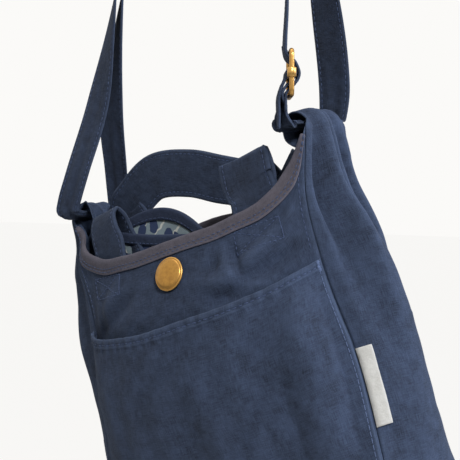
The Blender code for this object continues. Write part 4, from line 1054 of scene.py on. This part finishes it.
# Brass fittings
# Antique-finished brass: plated, darkened in mottled spots and rubbed back to orange gold on edges.
# The slider is a bent wire frame and a cast bar; the snap is a domed cap set through the canvas.
antique, brass_tree, brass_shader = bare_material("antique_plated_brass")
brass_place = add(brass_tree, "TexCoord").outputs["Object"]
brass_noise = add(brass_tree, "TexNoise", Vector=brass_place, Scale=420.0, Detail=6.0, Roughness=0.65)
brass_spots = brass_noise.outputs["Fac"]
brass_form = add(brass_tree, "NewGeometry").outputs["Pointiness"]
brass_shade = add(brass_tree, "MapRange", Value=brass_spots, From_Min=0.25, From_Max=0.62)
brass_edge = add(brass_tree, "MapRange", Value=brass_form, From_Min=0.49, From_Max=0.56)
brass_dark, brass_gold, brass_rubbed = linear("#8e6432"), linear("#b0823f"), linear("#cda05c")
brass_mix = {"data_type": "RGBA"}
brass_dull = add(brass_tree, "Mix", brass_mix, Factor=brass_shade, A=brass_dark, B=brass_gold)
brass_base = brass_dull.outputs["Result"]
brass_tone = add(brass_tree, "Mix", brass_mix, Factor=brass_edge, A=brass_base, B=brass_rubbed)
brass_rough = add(
    brass_tree, "MapRange", Value=brass_spots, From_Min=0.3, From_Max=0.7, To_Min=0.46, To_Max=0.26
)
brass_bump = add(brass_tree, "Bump", Height=brass_spots, Strength=0.12, Distance=0.0001)
brass_tree.links.new(brass_tone.outputs["Result"], brass_shader.inputs["Base Color"])
brass_tree.links.new(brass_rough.outputs[0], brass_shader.inputs["Roughness"])
brass_tree.links.new(brass_bump.outputs[0], brass_shader.inputs["Normal"])
brass_shader.inputs["Metallic"].default_value = 1.0
for name in ("snap_socket", "snap_stud", "snap_post"):
    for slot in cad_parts[name].material_slots:
        slot.material = antique


def lofted(name, rings, body, closed=False, to_frame=upright):
    """Brass solid through rings of points, capped at its ends or closed on itself."""
    rings = np.array(rings)
    mesh = bpy.data.meshes.new(name)
    mesh.from_pydata(to_frame(rings.reshape(-1, 3)).tolist(), [], tube_faces(*rings.shape[:2], closed))
    outward(mesh)
    return smooth_object(name, mesh, antique, body)


def circle(first, second, count):
    """Directions round a full turn, from the first towards the second."""
    angle = np.linspace(0, 2 * math.pi, count + 1)[:-1, None]
    return first * np.cos(angle) + second * np.sin(angle)


SLIDER_BEND = 3.0
frame_rings = []
for number, (i, j) in enumerate(((1, 1), (-1, 1), (-1, -1), (1, -1))):
    bend = slider_across * i * (SLIDER_HALF_WIDTH - SLIDER_BEND)
    bend = bend + slider_up * j * (SLIDER_HALF_HEIGHT - SLIDER_BEND)
    for step in np.radians(np.linspace(0, 90, 9) + 90 * number):
        out = slider_across * math.cos(step) + slider_up * math.sin(step)
        place = SLIDER_PLACE + bend + out * SLIDER_BEND
        frame_rings.append(place + circle(out, slider_off, 24) * SLIDER_WIRE)
wire = lofted("slider_wire_frame", frame_rings, "slider", closed=True)
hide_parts("slider_frame")

bar_rings = []
for place in np.linspace(-1, 1, 9):
    middle = SLIDER_PLACE + slider_across * place * (SLIDER_HALF_WIDTH - 1.5)
    bar_rings.append(middle + circle(slider_up, slider_off, 24) * SLIDER_WIRE)
bar = lofted("slider_middle_bar", bar_rings, "bag")
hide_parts("slider_bar")
# Section of a wrapped bar end: radius from the side wire's middle, and height
WRAP_OUTLINE = (
    (1.45, -2.3), (1.45, 2.3), (1.7, 2.45), (2.1, 2.45),
    (2.35, 2.2), (2.35, -2.2), (2.1, -2.45), (1.7, -2.45),
)
for side, end in ((-1, "left"), (1, "right")):
    middle = SLIDER_PLACE + slider_across * SLIDER_HALF_WIDTH * side
    around = circle(slider_across, slider_off, 24)
    sleeve_rings = [middle + around * r + slider_up * h for r, h in WRAP_OUTLINE]
    sleeve = lofted(f"slider_{end}_wrap", sleeve_rings, "bag", closed=True)

cap_at, cap_out = panel_frame(np.array(0.0), np.array(0.0), True)
cap_first = np.array((1.0, 0.0, 0.0))
cap_second = np.cross(cap_out, cap_first)
# Section of the cap: radius, and height above its seat on the canvas, from the shank to the dome
cap_seat = CANVAS / 2 + 0.9
CAP_RIM = ((1.9, 0.0), (8.9, 0.0), (9.4, 0.2), (9.5, 0.55), (9.3, 0.9), (8.9, 1.04), (8.6, 1.06))
cap_outline = [(1.9, -3.46), *[(r, cap_seat + h) for r, h in CAP_RIM]]
cap_outline += [(8.4 * math.cos(a), cap_seat + 1.0 + 1.6 * math.sin(a)) for a in np.linspace(0.06, 1.5, 12)]
cap_rings = [cap_at + circle(cap_first, cap_second, 72) * r + cap_out * h for r, h in cap_outline]
cap = lofted("snap_domed_cap", cap_rings, "bag", to_frame=in_frame)
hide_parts("snap_cap")


# Inner pouch
# A flat pouch for a phone, hung in the mouth, of printed cotton poplin with a navy binding. The
# print is a plain repeat: pale grey-green ground, navy pebbles and fine cream stripes.
POUCH_HALF = 38.0
POUCH_HEIGHT = 88.0
POUCH_X = -31.0
POUCH_TOP = 29.0
POUCH_CLOTH = 1.2
POUCH_OPEN = 8.0
POUCH_CLEAR = 0.3
pouch_back = float(panel_point(-27.0 / 79.0, BACK_RIM_Z - 4, False)[1])
pouch_y = pouch_back - (CANVAS / 2 + TAPE_CLEAR + TAPE + HANDLE_CLEAR + HANDLE_THICK + POUCH_CLEAR)
pouch_y = pouch_y - POUCH_OPEN - POUCH_CLOTH / 2 - TAPE - POUCH_CLEAR

printed, print_tree, print_shader = bare_material("printed_cotton_poplin")
layout = add(print_tree, "UVMap", {"uv_map": "threads"}).outputs["UV"]
warp = add(print_tree, "TexNoise", {"noise_dimensions": "2D"}, Vector=layout, Scale=0.12, Detail=2.0)
shifted = {"operation": "MULTIPLY_ADD"}
bend = add(print_tree, "VectorMath", shifted, _0=warp.outputs["Color"], _1=(5.0, 5.0, 0.0), _2=layout)
cells = add(print_tree, "TexVoronoi", {"voronoi_dimensions": "2D"}, Vector=bend, Scale=0.105, Randomness=0.72)
pebble = add(print_tree, "MapRange", Value=cells.outputs["Distance"], From_Min=0.33, From_Max=0.36)
stripes = add(print_tree, "TexWave", {"bands_direction": "DIAGONAL"}, Vector=bend, Scale=0.05, Distortion=1.2)
fine = add(print_tree, "MapRange", Value=stripes.outputs["Fac"], From_Min=0.94, From_Max=0.97)
inks = {"data_type": "RGBA"}
ground = add(print_tree, "Mix", inks, Factor=fine, A=linear("#8f9c9c"), B=linear("#d9d6c6"))
inked = add(print_tree, "Mix", inks, Factor=pebble, A=linear("#33405e"), B=ground.outputs["Result"])
poplin = add(print_tree, "TexBrick", Vector=layout, Scale=2.2, Mortar_Size=0.05, Mortar=(0.6, 0.6, 0.6, 1))
poplin.inputs["Color1"].default_value = (1, 1, 1, 1)
poplin.inputs["Color2"].default_value = (0.86, 0.86, 0.86, 1)
weave = poplin.outputs["Color"]
over = {"data_type": "RGBA", "blend_type": "MULTIPLY"}
cloth_tone = add(print_tree, "Mix", over, Factor=0.5, A=inked.outputs["Result"], B=weave)
print_tree.links.new(cloth_tone.outputs["Result"], print_shader.inputs["Base Color"])
print_bump = add(print_tree, "Bump", Height=weave, Strength=0.2, Distance=0.0002)
print_tree.links.new(print_bump.outputs[0], print_shader.inputs["Normal"])
print_shader.inputs["Roughness"].default_value = 0.88


def pouch_ring(depth, grow, count=161):
    """One ring round the pouch, depth below its mouth, grown outward by grow."""
    share = 1 - depth / POUCH_HEIGHT
    half_width = POUCH_HALF * (0.9 + 0.1 * share) + grow
    half_open = 5.0 * ease(0.0, 1.0, share) + 3.0 + grow
    a = np.linspace(0, 2 * math.pi, count)
    x = half_width * np.cos(a)
    y = half_open * np.sign(np.sin(a)) * np.abs(np.sin(a)) ** 1.15
    z = -depth + 15.0 * (1 - (x / POUCH_HALF) ** 2) * (0.5 + 0.5 * np.sin(a)) * share
    c, s = math.cos(LEAN), math.sin(LEAN)
    return np.stack([POUCH_X + x * c + z * s, pouch_y + y, POUCH_TOP - x * s + z * c], axis=-1)


pouch_grid = np.array([pouch_ring(d, 0.0) for d in np.linspace(POUCH_HEIGHT - 1, 0, 60)])
pouch_dents = crumple(pouch_grid, 16.0, 50.0) * 0.5 * ease(0, 9, edge_distance(pouch_grid))
pouch_grid = pouch_grid + grid_normals(pouch_grid, (0, 1, 0)) * pouch_dents[..., None]
pouch_grid[:, -1] = pouch_grid[:, 0]
pouch_faces = grid_normals(pouch_grid, (0, 1, 0))
pouch_cloth = cloth_sheet("pouch_cloth", pouch_grid, pouch_faces, POUCH_CLOTH, printed)
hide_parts("inner_pocket")
foot_share = np.linspace(-1, 1, 13)[:, None, None]
foot_ring = pouch_ring(POUCH_HEIGHT - 0.6, -0.4, 81)
foot_grid = foot_ring[:41][None] * (1 + foot_share) / 2 + foot_ring[80:39:-1][None] * (1 - foot_share) / 2
foot_faces = grid_normals(foot_grid, (0, 0, -1))
pouch_foot = cloth_sheet("pouch_foot_cloth", foot_grid, foot_faces, 1.0, printed)

POUCH_TAPE_STAND = 0.7
NAVY_TAPE = ("#2b3242", "#222735", "#434d63")
navy_tape = woven("navy_cotton_bias_tape", *NAVY_TAPE, thread=0.6, fuzz=0.06, relief=0.25)
tape_rows = [(d, POUCH_CLOTH / 2 + POUCH_TAPE_STAND) for d in np.linspace(5, 0.2, 7)]
tape_rows += [(-0.55 - 0.5 * math.sin(a), 1.3 * math.cos(a)) for a in np.radians(np.linspace(20, 160, 6))]
tape_rows += [(d, -POUCH_CLOTH / 2 - POUCH_TAPE_STAND) for d in np.linspace(0.2, 5, 7)]
mouth_grid = np.array([pouch_ring(d, g) for d, g in tape_rows])
mouth_tape = cloth_sheet("pouch_mouth_tape", mouth_grid, grid_normals(mouth_grid, (0, 1, 0)), TAPE, navy_tape)
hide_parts("inner_pocket_binding")
for way, face in ((1, "outer"), (-1, "inner")):
    line = pouch_ring(3.9, way * (POUCH_CLOTH / 2 + POUCH_TAPE_STAND + TAPE / 2 - 0.05))
    out = (pouch_ring(3.9, 2.0) - pouch_ring(3.9, 0.0)) * way
    stitches(f"pouch_mouth_{face}_stitches", line, out, length=2.1, gap=0.8, radius=0.24)
